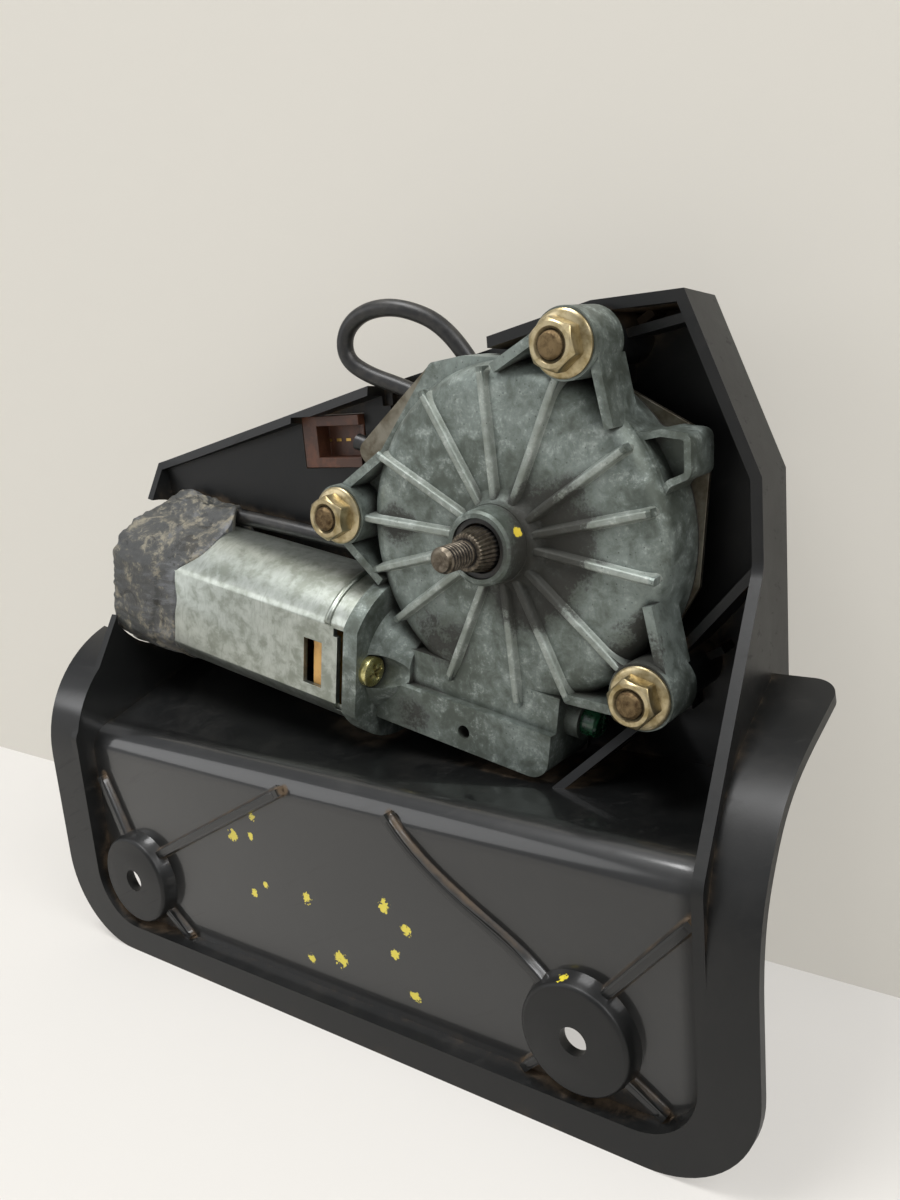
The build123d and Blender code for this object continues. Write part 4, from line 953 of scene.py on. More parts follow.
# ---------------------------------------------------------------- dressing the frame's nodes
@dataclass
class Workshop:
    """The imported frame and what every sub-assembly needs from it."""

    frame: Mapping[str, object]
    datum: Datum
    dressed: set[str] = field(default_factory=set)

    def dress(self, node: str, finish: Finish) -> None:
        """Give a node that is kept as it is its finish.

        Args:
            node: The node's name.
            finish: Its finish.
        """
        thing = self.frame["nodes"][node]
        thing.data.materials.clear()
        thing.data.materials.append(finish.material())
        self.dressed.add(node)
        LOG.info("%s keeps its shape", node)

    def refine(self, node: str, finish: Finish, bevel: float,
               cutter: bpy.types.Object | None = None) -> None:
        """Put a merged, smooth-shaded and edge-rounded copy in place of a node.

        Args:
            node: The node's name.
            finish: Its finish.
            bevel: Width of the rounded edges in millimetres, or 0 for none.
            cutter: A closed object whose space is cut out of the copy, and which then goes.
        """
        source = self.frame["nodes"][node]
        mesh = source.data.copy()
        mesh.name = node + "_finished"
        mesh.materials.clear()
        work = bmesh.new()
        work.from_mesh(mesh)
        bmesh.ops.remove_doubles(work, verts=work.verts, dist=NODE_MERGE_GAP)
        bmesh.ops.dissolve_limit(work, angle_limit=math.radians(FLAT_ANGLE), verts=work.verts,
                                 edges=work.edges)
        work.to_mesh(mesh)
        work.free()
        if "custom_normal" in mesh.attributes:
            mesh.attributes.remove(mesh.attributes["custom_normal"])
        thing = bpy.data.objects.new(node + "_finished", mesh)
        bpy.context.scene.collection.objects.link(thing)
        if cutter is not None:
            self.cut(thing, cutter)
        smooth(thing.data, EDGE_ANGLE)
        if bevel:
            rounding = thing.modifiers.new("worn edges", "BEVEL")
            rounding.width = bevel * MM
            rounding.segments = 2
            rounding.limit_method = "ANGLE"
            rounding.angle_limit = math.radians(EDGE_ANGLE)
            rounding.harden_normals = True
            rounding.use_clamp_overlap = True
        self.place(thing, finish, [node])

    def cut(self, thing: bpy.types.Object, cutter: bpy.types.Object) -> None:
        """Take a cutter's space out of an object's mesh and remove the cutter.

        Args:
            thing: The object that is cut.
            cutter: A closed object.
        """
        slot = thing.modifiers.new("cut", "BOOLEAN")
        slot.operation = "DIFFERENCE"
        slot.solver = "EXACT"
        slot.object = cutter
        shape = thing.evaluated_get(bpy.context.evaluated_depsgraph_get())
        mesh = bpy.data.meshes.new_from_object(shape)
        thing.modifiers.clear()
        thing.data = mesh
        bpy.data.objects.remove(cutter)

    def place(self, thing: bpy.types.Object, finish: Finish, nodes: Sequence[str],
              body: Body | None = None) -> None:
        """Dress a new piece and let it stand for nodes of the frame.

        Args:
            thing: The new piece.
            finish: Its finish.
            nodes: The nodes that it replaces; none for a piece that is only added.
            body: The body it rides on, where it replaces no node.
        """
        thing.data.materials.clear()
        thing.data.materials.append(finish.material())
        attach(thing, body.value if body else self.frame["nodes"][nodes[0]]["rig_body"])
        if nodes:
            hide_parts(*nodes)
            self.dressed.update(nodes)
        LOG.info("%s stands for %s", thing.name, ", ".join(nodes) or "a small detail")


# ---------------------------------------------------------------- finishes of this motor
CARRIER_BLACK = MouldedPlastic()
ISOLATOR_RUBBER = Plain("isolator rubber", rgb(28, 28, 27), rgb(44, 42, 39), rough=0.7)
SEAL_RUBBER = Plain("seal rubber", rgb(17, 17, 16), rgb(40, 38, 33), rough=0.45)
NUT_ZINC = PlatedSteel(
    "pale yellow zinc", rgb(186, 172, 138), rgb(138, 122, 84), rgb(54, 42, 26),
    rough=0.27, spangle=2.5, grime_and_shade_amount=0.95)
SCREW_ZINC = PlatedSteel(
    "yellow zinc", rgb(214, 208, 150), rgb(164, 154, 92), rgb(34, 28, 16),
    rough=0.2, spangle=2.0, grime_and_shade_amount=0.95)
STUD_STEEL = PlatedSteel(
    "rusty stud steel", rgb(122, 104, 76), rgb(74, 58, 40), rgb(30, 24, 18),
    rough=0.5, spangle=1.5, grime_and_shade_amount=0.6)
# Its short reach darkens the thread's grooves: painted shade, with some dirt.
SPINDLE_STEEL = PlatedSteel(
    "dark spindle steel", rgb(112, 104, 92), rgb(66, 58, 48), rgb(13, 10, 8),
    rough=0.34, spangle=1.6, grime_and_shade_amount=1.0, reach=1.2, deep=(0.10, 0.42))
CAN_STEEL = PlatedSteel(
    "galvanised can steel", rgb(180, 185, 178), rgb(138, 143, 133), rgb(48, 44, 34),
    rough=0.28, spangle=3.5, grime_and_shade_amount=0.7, reach=3.0, drawn=0.6)
COVER_STEEL = PlatedSteel(
    "cover steel", rgb(128, 124, 112), rgb(88, 80, 66), rgb(40, 32, 22),
    rough=0.42, spangle=6.0, grime_and_shade_amount=0.6)
BRIGHT_STEEL = PlatedSteel(
    "ground steel", rgb(176, 178, 178), rgb(138, 140, 140), rgb(50, 46, 38),
    rough=0.22, spangle=3.0, grime_and_shade_amount=0.4)
SPRING_STEEL = PlatedSteel(
    "spring steel", rgb(112, 112, 112), rgb(80, 78, 76), rgb(34, 32, 28),
    rough=0.3, spangle=2.0, grime_and_shade_amount=0.5)
CORE_STEEL = PlatedSteel(
    "lamination steel", rgb(84, 84, 86), rgb(58, 56, 54), rgb(26, 24, 22),
    rough=0.45, spangle=2.0, grime_and_shade_amount=0.5)
BRONZE = PlatedSteel(
    "sintered bronze", rgb(150, 116, 72), rgb(112, 82, 48), rgb(40, 30, 20),
    rough=0.5, spangle=1.2, grime_and_shade_amount=0.6)
BRASS = PlatedSteel(
    "contact brass", rgb(196, 162, 92), rgb(160, 124, 64), rgb(56, 42, 24),
    rough=0.3, spangle=3.0, grime_and_shade_amount=0.5)
COPPER = PlatedSteel(
    "copper", rgb(178, 106, 72), rgb(134, 74, 48), rgb(48, 28, 18),
    rough=0.32, spangle=2.0, grime_and_shade_amount=0.5)
CASTING = DieCasting()
# A paler copy of the alloy for the disc's ribs: a painted highlight along them.
RIB_HIGHLIGHT_CASTING = DieCasting(
    "rubbed die-cast alloy", base=rgb(150, 157, 151), pale=rgb(190, 194, 188),
    soot=rgb(118, 124, 116))
WHEEL_ACETAL = Plain("cream acetal", rgb(214, 208, 188), rgb(196, 188, 164), rough=0.36)
GASKET_SHEET = Plain("gasket sheet", rgb(44, 42, 38), rgb(64, 60, 54), rough=0.8)
BOARD = Plain("resin-bonded paper", rgb(124, 84, 46), rgb(96, 62, 32), rough=0.55)
AMBER_BOARD = Plain("amber board", rgb(196, 152, 84), rgb(160, 112, 52), rough=0.4, size=6.0)
GREEN_LACQUER = Plain(
    "green lacquer", rgb(12, 44, 26), rgb(20, 70, 44), rough=0.22, coat=0.5, size=2.0)
FERRITE = Plain("ferrite", rgb(46, 46, 48), rgb(62, 62, 64), rough=0.62)
CARBON = Plain("carbon brush", rgb(38, 37, 37), rgb(58, 55, 52), rough=0.6, metal=0.2)
BROWN_PLASTIC = Plain("brown plastic", rgb(66, 38, 24), rgb(88, 52, 34), rough=0.42, size=4.0)
CABLE_SHEATH = Plain("cable sheath", rgb(20, 20, 20), rgb(40, 38, 35), rough=0.36, size=2.5)
TAPE_CLOTH = OldTape()


@dataclass
class Carrier:
    """Moulded carrier with its rim, wings, bosses and posts."""

    shop: Workshop
    edge: float = 0.7
    panel: float = -16.0
    rib_height: float = 2.15
    rib_half_width: float = 1.3
    rib_taper: float = 2.0
    dust_reach: float = 3.0
    straight_ribs: tuple[tuple[float, ...], ...] = (
        (-110.2, -91.2, -55.0, -61.0), (-122.0, -91.0, -131.5, -70.5),
        (-110.0, -107.0, -100.0, -114.5), (34.3, -90.2, 56.0, -66.5),
        (38.0, -106.0, 48.5, -112.5), (22.0, -106.5, 14.0, -113.5),
    )
    bent_rib: tuple[tuple[float, float], ...] = (
        (23.3, -93.7), (15.0, -85.7), (2.3, -78.4), (-10.9, -69.8), (-20.3, -60.0))
    drops: tuple[Place, ...] = (
        (-76.5, -77.9, 2.6), (-67.8, -70.9, 1.7), (-69.6, -76.7, 1.6), (-70.8, -93.5, 1.8),
        (-65.9, -89.9, 1.4), (-50.8, -89.7, 2.2), (-24.3, -84.9, 2.7), (-18.1, -89.5, 2.4),
        (-51.8, -107.1, 2.1), (-41.1, -104.2, 3.2), (-22.4, -97.1, 2.0), (-17.4, -106.9, 2.5),
    )
    boss_drop: tuple[float, float, float, float] = (26.8, -18.6, -86.2, 2.0)
    wing_root: tuple[Place, ...] = (
        (57.5, 26.0, -33.5), (57.5, 7.2, -44.5), (57.5, -13.3, -52.9))

    def finish(self) -> MouldedPlastic:
        """Give the plastic its drops of paint and the dusty lines along its ribs.

        Returns:
            The carrier's finish.
        """
        at = self.shop.datum.at
        drops = [(tuple(at(x, self.panel, z)), reach) for x, z, reach in self.drops]
        x, y, z, reach = self.boss_drop
        drops.append((tuple(at(x, y, z)), reach))
        runs = [*self.straight_ribs, *((*a, *b) for a, b in zip(self.bent_rib, self.bent_rib[1:]))]
        lines = [(tuple(at(x0, self.panel, z0)), tuple(at(x1, self.panel, z1)), self.dust_reach)
                 for x0, z0, x1, z1 in runs]
        for start, end in zip(self.wing_root, self.wing_root[1:]):
            lines.append((tuple(at(*start)), tuple(at(*end)), self.dust_reach))
        return replace(CARRIER_BLACK, drops=tuple(drops), dusty_lines=tuple(lines))

    def build(self) -> None:
        """Round the moulding's edges, lay soft crests on its ribs and finish it."""
        black = self.finish()
        self.shop.refine("bracket", black, bevel=self.edge)
        paths = [np.linspace((x0, z0), (x1, z1), 40) for x0, z0, x1, z1 in self.straight_ribs]
        knots = np.array(self.bent_rib)
        spot = np.linspace(0, len(knots) - 1, 70)
        through_all = len(knots) - 1
        bends = [np.polyval(np.polyfit(np.arange(len(knots)), knots[:, k], through_all), spot)
                 for k in (0, 1)]
        paths.append(np.stack(bends, axis=1))
        for number, path in enumerate(paths):
            rib = ridge(f"panel_rib_{number}", self.shop.datum, path, self.level,
                        crest=self.panel - self.rib_height, half_width=self.rib_half_width,
                        taper=self.rib_taper)
            self.shop.place(rib, black, [], Body.BASE)

    def level(self, x: np.ndarray, z: np.ndarray) -> np.ndarray:
        """Give the lower panel's depth, the same everywhere."""
        return np.full(np.broadcast(x, z).shape, self.panel)


@dataclass
class StudJoints:
    """Three studs with flange nuts, spacer sleeves and rubber rings that hold the gearbox.

    Each of its places is a stud's angle round the spindle and its nut's own turn, in degrees.
    """

    shop: Workshop
    circle: float = 47.0
    places: tuple[tuple[float, float], ...] = ((63.7, 8.0), (173.5, 20.0), (317.2, 2.0))
    seat: float = 7.0
    across: float = 10.0
    nut_height: float = 5.6
    flange_radius: float = 7.1
    flange_top: float = 1.3
    thread_radius: float = 3.0
    bore_gap: float = 0.02
    chamfer: float = 0.35
    crown_height: float = 0.95
    pitch: float = 1.0
    thread_depth: float = 0.5
    thread_length: float = 8.0
    stud_front: float = 0.6
    stud_back: float = 33.0

    def build(self) -> None:
        """Turn the nuts and studs, and finish the sleeves and rings."""
        nuts, studs = [], []
        for angle, offset in self.places:
            x = self.circle * math.cos(math.radians(angle))
            z = self.circle * math.sin(math.radians(angle))
            nuts.append(self.nut(x, z, offset))
            studs.append(self.stud(x, z))
        self.shop.place(join("crowned_nuts", nuts), NUT_ZINC, ["flange_nuts"])
        self.shop.place(join("threaded_studs", studs), STUD_STEEL, ["mounting_studs"])
        self.shop.dress("ear_sleeves", BRIGHT_STEEL)
        self.shop.dress("isolators", ISOLATOR_RUBBER)

    def nut(self, x: float, z: float, offset: float) -> bpy.types.Object:
        """Turn one flange nut with a chamfered crown, its seat at the ear's front.

        Args:
            x: Its axis's distance right of the spindle.
            z: Its axis's distance above the spindle.
            offset: Turn of its hexagon in degrees.

        Returns:
            The nut.
        """
        bore = self.thread_radius + self.bore_gap
        face = self.across / 2 - self.chamfer
        corner = self.across / 2 / math.cos(math.pi / 6)
        top, flange, rim = self.nut_height, self.flange_top, self.flange_radius
        crown_start = top - self.crown_height
        cone = [(corner + (face - corner) * part, crown_start + (top - crown_start) * part)
                for part in np.linspace(0, 1, 9)]
        profile = [
            (bore, 0.0), (rim - 0.25, 0.0), (rim, 0.25), (rim, flange - 0.5),
            (rim - 0.3, flange - 0.2), (corner + 0.55, flange), (corner, flange + 0.15),
            (corner, crown_start), *cone[1:],
            (bore + 0.75, top), (bore + 0.1, top - 0.55), (bore, top - 0.8), (bore, 0.0)]
        hexagon = crown(self.across, base=flange + 0.1, offset=offset)
        return lathe("nut", profile, self.shop.datum.at(x, self.seat, z), FORWARD,
                     segments=120, wave=hexagon, sharp=28.0)

    def stud(self, x: float, z: float) -> bpy.types.Object:
        """Turn one stud, threaded at its front, with a slightly dished end.

        Args:
            x: Its axis's distance right of the spindle.
            z: Its axis's distance above the spindle.

        Returns:
            The stud.
        """
        radius, length = self.thread_radius, self.stud_back - self.stud_front
        rows = [(radius, h) for h in np.arange(-0.7, -self.thread_length, -self.pitch / 8)]
        profile = [(0.0, -0.12), (1.2, -0.08), (radius - 0.75, 0.0), (radius - 0.6, -0.06), *rows,
                   (radius, -length), (0.0, -length)]
        thread = threaded(self.pitch, self.thread_depth, start=-self.thread_length, end=-0.5)
        return lathe("stud", profile, self.shop.datum.at(x, self.stud_front, z), FORWARD,
                     segments=48, wave=thread, sharp=60.0)


@dataclass
class Gearbox:
    """Die-cast housing with its cover, seal and the gear inside."""

    shop: Workshop
    disc_radius: float = 40.3
    face: float = 9.2
    shoulder: float = 6.0
    rib_crest: float = 7.62
    rib_half_width: float = 1.07
    rib_root: float = 8.2
    rib_reach: float = 38.95
    rib_taper: float = 1.3
    rib_angles: tuple[float, ...] = (
        10.8, 32.0, 92.5, 118.5, 149.0, 192.5, 212.5, 242.5, 272.5, 293.5, 349.6)
    ear_angles: tuple[float, ...] = (63.7, 173.5, 317.2)
    ear_reach: float = 40.5
    stains: tuple[Place, ...] = (
        (15.5, 4.5, 11.0), (13.0, -8.5, 9.0), (4.0, -14.0, 7.0), (-20.0, -25.0, 8.0),
        (33.0, -22.0, 8.0), (-30.0, 3.0, 6.0), (-29.0, -45.0, 7.0), (20.0, -42.0, 6.0),
    )
    rib_stains: int = 3
    paint_drop: Place = (8.2, 4.2, 3.4)
    hub_radius: float = 8.6
    spindle_tip: float = -13.5
    thread_radius: float = 3.0
    thread_pitch: float = 1.0
    thread_depth: float = 0.55
    knurl_front: float = -4.6
    knurl_back: float = 2.5
    knurl_teeth: int = 30
    knurl_radius: float = 5.2
    knurl_taper: float = 0.9
    knurl_depth: float = 0.32
    journal_radius: float = 5.0
    clip_radius: float = 4.4
    clip_groove: tuple[float, float] = (20.5, 21.5)
    shaft_back: float = 25.7
    shaft_chamfer: float = 0.8

    def build(self) -> None:
        """Finish the housing and everything in it."""
        at = self.shop.datum.at
        stains = tuple((tuple(at(x, self.face, z)), reach) for x, z, reach in self.stains)
        alloy = replace(CASTING, hub=tuple(at(0, self.face, 0)),
                        drop=tuple(at(*self.paint_drop)), stains=stains)
        self.shop.refine("gear_housing", alloy, bevel=0.6)
        spokes = [self.spoke(angle, self.rib_reach) for angle in self.rib_angles]
        spokes += [self.spoke(angle, self.ear_reach) for angle in self.ear_angles]
        # The ribs take the paler copy of the alloy: a painted highlight.
        rubbed = replace(RIB_HIGHLIGHT_CASTING, hub=alloy.hub, drop=alloy.drop,
                         stains=alloy.stains[:self.rib_stains])
        self.shop.place(join("disc_ribs", spokes), rubbed, [], Body.BASE)
        self.shop.place(self.hub_root(), alloy, [], Body.BASE)
        self.shop.place(self.spindle(), SPINDLE_STEEL, ["output_spindle"])
        self.shop.refine("rear_cover_plate", COVER_STEEL, bevel=0.2)
        self.shop.dress("cover_gasket", GASKET_SHEET)
        self.shop.refine("cover_screws", BRIGHT_STEEL, bevel=0.15)
        self.shop.refine("spindle_seal", SEAL_RUBBER, bevel=0.2)
        self.shop.refine("thrust_plug", GREEN_LACQUER, bevel=0.15)
        self.shop.refine("worm_wheel", WHEEL_ACETAL, bevel=0.0)
        for node in ("spindle_bushes", "drive_bush"):
            self.shop.dress(node, BRONZE)
        for node in ("spindle_clip", "thrust_washers", "wheel_insert", "thrust_ball"):
            self.shop.dress(node, BRIGHT_STEEL)
        for node in ("park_contact_disc", "contact_fingers", "contact_rivets"):
            self.shop.dress(node, BRASS)
        self.shop.dress("contact_carrier", BOARD)
        self.shop.refine("worm", SPRING_STEEL, bevel=0.0)

    def front_of_disc(self, x: np.ndarray, z: np.ndarray) -> np.ndarray:
        """Give the Y of the disc's front, which curves back at its round shoulder.

        Args:
            x: Distances right of the spindle.
            z: Distances above it.

        Returns:
            The face's Y, deeper by r - sqrt(r^2 - d^2) at d beyond the flat part.
        """
        flat = self.disc_radius - 0.5 - self.shoulder
        beyond = np.clip(np.hypot(x, z) - flat, 0, self.shoulder * 0.93)
        return self.face + self.shoulder - np.sqrt(self.shoulder ** 2 - beyond ** 2)

    def spoke(self, angle: float, reach: float) -> bpy.types.Object:
        """Lay one rib from the hub outwards.

        Args:
            angle: Its direction in degrees.
            reach: Distance of its outer end from the spindle.

        Returns:
            The rib.
        """
        way = np.array((math.cos(math.radians(angle)), math.sin(math.radians(angle))))
        path = np.linspace(self.rib_root, reach, 60)[:, None] * way
        return ridge("rib", self.shop.datum, path, self.front_of_disc, crest=self.rib_crest,
                     half_width=self.rib_half_width, taper=self.rib_taper)

    def hub_root(self) -> bpy.types.Object:
        """Turn the concave fillet between hub and disc.

        Its section is a quarter of an ellipse, (start + width * (1 - cos t), low + height *
        (1 - sin t)), closed inside the hub and under the disc's front.

        Returns:
            The fillet.
        """
        inner, under = self.hub_radius, -9.9
        start, width, low, height = 9.15, 3.4, -9.25, 3.2
        curve = [(start + width * (1 - math.cos(t)), low + height * (1 - math.sin(t)))
                 for t in np.linspace(0, math.pi / 2, 9)]
        profile = [(inner, under), (inner, -6.0), *curve, (12.6, under), (inner, under)]
        return lathe("hub_root", profile, self.shop.datum.at(0, 0, 0), FORWARD, segments=72)

    def spindle(self) -> bpy.types.Object:
        """Turn the spindle: dished and threaded nose, serrated cone, journal and wheel seat.

        Returns:
            The spindle.
        """
        tip, cone, back = -self.spindle_tip, -self.knurl_front, -self.knurl_back
        thin, thick, journal = self.thread_radius, self.knurl_radius, self.journal_radius
        groove_front, groove_back = self.clip_groove
        thread = threaded(self.thread_pitch, self.thread_depth, start=cone + 0.7, end=tip - 0.35)
        nose = [(thin, h) for h in np.arange(tip - 0.75, cone, -0.1)]
        serrated = [(thick - self.knurl_taper * (h / cone if h > 0 else 0.0), h)
                    for h in np.arange(cone - 0.25, back + 0.2, -0.3)]
        profile = [
            (0.0, tip - 0.35), (0.9, tip - 0.22), (1.5, tip), (2.35, tip), (thin, tip - 0.7),
            *nose, (thin, cone), (4.0, cone), *serrated, (thick, back), (journal, back - 0.05),
            (journal, -groove_front), (self.clip_radius, -groove_front),
            (self.clip_radius, -groove_back), (journal, -groove_back),
            (journal, self.shaft_chamfer - self.shaft_back),
            (journal - self.shaft_chamfer, -self.shaft_back), (0.0, -self.shaft_back)]

        def wave(turn: np.ndarray, radius: np.ndarray,
                 height: np.ndarray) -> tuple[np.ndarray, np.ndarray]:
            """Cut the thread and the straight serrations, which have sharp crests.

            Args:
                turn: Each point's angle in radians.
                radius: Its distance from the axis.
                height: Its place along the axis.

            Returns:
                The changed radius and height.
            """
            radius, height = thread(turn, radius, height)
            crests = np.abs(np.mod(turn * self.knurl_teeth / (2 * math.pi), 1.0) * 2 - 1)
            toothed = (height <= cone - 0.2) & (height > back + 0.3) & (radius > 4.0)
            return np.where(toothed, radius - self.knurl_depth * (1 - crests), radius), height
        return lathe("spindle", profile, self.shop.datum.at(0, 0, 0), FORWARD,
                     segments=8 * self.knurl_teeth, wave=wave, sharp=55.0)


@dataclass
class Motor:
    """Drawn can with its armature, brush gear, screws and tape."""

    shop: Workshop
    half_tall: float = 20.3
    half_deep: float = 17.3
    can_left: float = -127.5
    tape_left: float = -129.9
    tape_right: float = -101.8
    tape: float = 1.2
    seat: float = -32.5
    screw_depths: tuple[float, float] = (-13.6, 13.6)
    head_radius: float = 4.0
    head_height: float = 2.4
    shank_radius: float = 2.0
    shank_length: float = 4.0
    gap_along: tuple[float, float] = (-40.2, -36.9)
    gap_turns: tuple[float, float] = (-0.50, 0.66)
    strap_along: tuple[float, float] = (-43.4, -37.0)
    strap_turns: tuple[float, float] = (-1.50, -0.53)
    bead_along: tuple[float, float] = (-44.4, -42.4)
    tongue_along: tuple[float, float] = (-49.6, -44.6)
    tongue_turns: tuple[float, float] = (-0.30, 0.60)
    flap_turn: float = 1.12 * math.pi
    flap_half_width: float = 0.52
    flap_reach: float = 7.0
    second_layer: float = 9.0
    lead_turn: float = 2.95
    lead_half_width: float = 0.27
    lead_enters: float = -126.0
    lead_bulge: float = 5.5
    end_radius: float = 8.6

    def build(self) -> None:
        """Finish the can and everything in it."""
        axis = MotorAxis(self.shop.datum)
        gap = self.patch("gap", axis, self.gap_along, self.gap_turns,
                         levels=(-2.6, 1.0), round_=0.01)
        self.shop.refine("motor_can", CAN_STEEL, bevel=0.25, cutter=gap)
        strap = self.patch("strap", axis, self.strap_along, self.strap_turns,
                           levels=(-0.3, 0.7), round_=0.35)
        bead = self.patch("bead", axis, self.bead_along, self.strap_turns,
                          levels=(-0.3, 1.5), round_=0.95)
        self.shop.place(join("crimp_strap", [strap, bead]), CAN_STEEL, [], Body.BASE)
        tongue = self.patch("brush_plate_tongue", axis, self.tongue_along, self.tongue_turns,
                            levels=(-3.2, -1.55), round_=0.2)
        self.shop.place(tongue, AMBER_BOARD, [], Body.BASE)
        heads = [self.screw(axis, depth) for depth in self.screw_depths]
        self.shop.place(join("flange_screws", heads), SCREW_ZINC, ["can_screws"])
        self.shop.place(self.wrap(axis), TAPE_CLOTH, ["tape_wrap"])
        self.shop.refine("brush_plate", AMBER_BOARD, bevel=0.15)
        self.shop.dress("field_magnets", FERRITE)
        for node in ("magnet_clips", "bush_retainer", "brush_springs"):
            self.shop.dress(node, SPRING_STEEL)
        self.shop.refine("armature_shaft", BRIGHT_STEEL, bevel=0.0)
        self.shop.dress("end_bush", BRONZE)
        self.shop.dress("shaft_washers", BOARD)
        self.shop.dress("lamination_stack", CORE_STEEL)
        for node in ("armature_windings", "commutator"):
            self.shop.dress(node, COPPER)
        self.shop.dress("commutator_core", BOARD)
        self.shop.dress("brush_boxes", BRASS)
        self.shop.dress("carbon_brushes", CARBON)
        self.shop.dress("suppression_chokes", FERRITE)

    def screw(self, axis: MotorAxis, depth: float) -> bpy.types.Object:
        """Turn one pan-head screw with a cross recess, its head on the flange.

        Args:
            axis: The motor's axis.
            depth: The screw's place behind the axis.

        Returns:
            The screw.
        """
        radius, height = self.head_radius, self.head_height
        dome = [(radius * r, height * (1 - 0.32 * r ** 2.5)) for r in np.linspace(0, 0.94, 26)]
        profile = [*dome, (radius * 0.985, height * 0.6), (radius, height * 0.45), (radius, 0.0),
                   (self.shank_radius, 0.0), (self.shank_radius, -self.shank_length),
                   (0.0, -self.shank_length)]
        recess = cross_recess(reach=2.3, width=1.0, depth=1.3, turn_by=24.0)
        return lathe("screw", profile, axis.at(self.seat, 0.0, depth), axis.direction(),
                     segments=120, wave=recess)

    def section(self, turn: np.ndarray, grow: np.ndarray | float) -> np.ndarray:
        """Give the can's radius round its axis.

        A circle cut by two flats, blended at their corners: r = (R^-p + (D / |sin|)^-p)^(-1/p).

        Args:
            turn: Angles from straight away from the spindle.
            grow: Thickness laid on the can.

        Returns:
            The radius in millimetres.
        """
        flat = (self.half_deep + grow) / np.maximum(np.abs(np.sin(turn)), 1e-3)
        power = 26.0
        return ((self.half_tall + grow) ** -power + flat ** -power) ** (-1 / power)

    def patch(self, name: str, axis: MotorAxis, along: tuple[float, float],
              turns: tuple[float, float], levels: tuple[float, float],
              round_: float) -> bpy.types.Object:
        """Lay a sheet that follows the can's section over part of its girth.

        Over the place u along the axis and the turn t the outer face stands at the can's
        radius plus the upper level, less round * (1 - sqrt(1 - (1 - d / round)^2)) within a
        distance d < round of an edge.

        Args:
            name: The object's name.
            axis: The motor's axis.
            along: Where it starts and ends along the axis.
            turns: Its first and last angle from the can's front, in radians.
            levels: Heights of its underside and outer face over the can's surface.
            round_: Radius of its outer edges.

        Returns:
            The closed sheet.
        """
        turn = np.linspace(*turns, 48) + 1.5 * math.pi
        place = np.linspace(*along, 24)[:, None]
        from_end = np.minimum(place - along[0], along[1] - place)
        from_side = np.minimum(turn - turn[0], turn[-1] - turn)[None, :] * self.half_deep
        near_edge = np.clip(np.minimum(from_end, from_side) / round_, 0, 1)
        top = levels[1] - round_ * (1 - np.sqrt(1 - (1 - near_edge) ** 2))
        outer = self.section(turn[None, :], np.maximum(top, levels[0] + 0.05))
        under = self.section(turn[::-1][None, :], levels[0]) * np.ones_like(place)
        angles = np.concatenate([turn, turn[::-1]])[None, :]
        radius = np.concatenate([outer, under], axis=1)
        ring = axis.at(place * np.ones_like(angles), radius * np.cos(angles),
                       radius * np.sin(angles))
        half = len(turn)
        closing = [np.concatenate([ring[k, half:][::-1], ring[k, half:]])[None] for k in (0, -1)]
        return add_grid(name, np.concatenate([closing[0], ring, closing[1]]), sharp=30.0)

    def wrap(self, axis: MotorAxis) -> bpy.types.Object:
        """Wind two ragged layers of tape round the closed end of the can.

        The surface runs over the turn t and a closed run of (place along the axis, layers):
        from the edge over the can to the left, in over its end and back underneath. Each
        place is lifted by creases that grow towards the end, and the edge wanders.

        Args:
            axis: The motor's axis.

        Returns:
            The tape.
        """
        turn = np.linspace(0, 2 * math.pi, 260, endpoint=False)
        girth, level = turn * self.half_tall, np.zeros(len(turn))
        flap = np.exp(-((turn - self.flap_turn) / self.flap_half_width) ** 4)
        ragged = 0.9 * crumple(girth, level, seed=3, size=40.0)
        right = self.tape_right + ragged + self.flap_reach * flap
        wandering = 2.6 * crumple(girth, level, seed=8, size=55.0)
        second = self.tape_right - self.second_layer + wandering

        # Over the can, from the edge to its end: layers, creases, and the lead underneath
        first_layer, next_layer, layer_edge = self.tape * 0.42, self.tape * 0.5, 0.22
        t = np.linspace(0, 1, 70)[:, None]
        along = right[None, :] * (1 - t) + self.tape_left * t
        doubled = 1 / (1 + np.exp((along - second[None, :]) / layer_edge))
        crease = crumple(girth[None, :] * 1.6, along * 0.7, seed=5, size=15.0)
        swell = 0.10 + 0.5 * t ** 3
        grow = first_layer + next_layer * doubled + crease * swell
        over_lead = np.exp(-((turn[None, :] - self.lead_turn) / self.lead_half_width) ** 2)
        over_lead = over_lead / (1 + np.exp(-(along - self.lead_enters)))
        bulge = over_lead * (self.lead_bulge + 0.7 * crease)
        thinnest, edge_thickness = 0.12, 0.15
        grow = np.maximum(grow, thinnest) * np.clip(t * 60, edge_thickness, 1) + bulge
        rounding, round_share = 2.6, 0.07
        turned_in = rounding * np.clip((t - (1 - round_share)) / round_share, 0, 1) ** 2
        outer_radius = self.section(turn[None, :], grow) - turned_in

        # In over the end, then back inside
        inward = np.linspace(0, 1, 16)[1:, None]
        end_radius = outer_radius[-1:] * (1 - inward) + self.end_radius * inward
        folds = 0.5 * crumple(girth[None, :], end_radius * 2.0, seed=9, size=9.0)
        end_along = self.tape_left + folds * (1 - inward) + 0.9 * inward
        inner_along = np.stack([np.full_like(turn, self.can_left)] * 2 + [right])
        inside = self.section(turn, -0.2)
        inner_radius = np.stack([np.full_like(turn, self.end_radius - 0.2), inside, inside])
        radius = np.concatenate([outer_radius, end_radius, inner_radius])
        along = np.concatenate([along, end_along, inner_along])
        points = axis.at(along, radius * np.cos(turn), radius * np.sin(turn))
        return add_grid("wound_tape", points, wrap_rows=True, sharp=50.0)


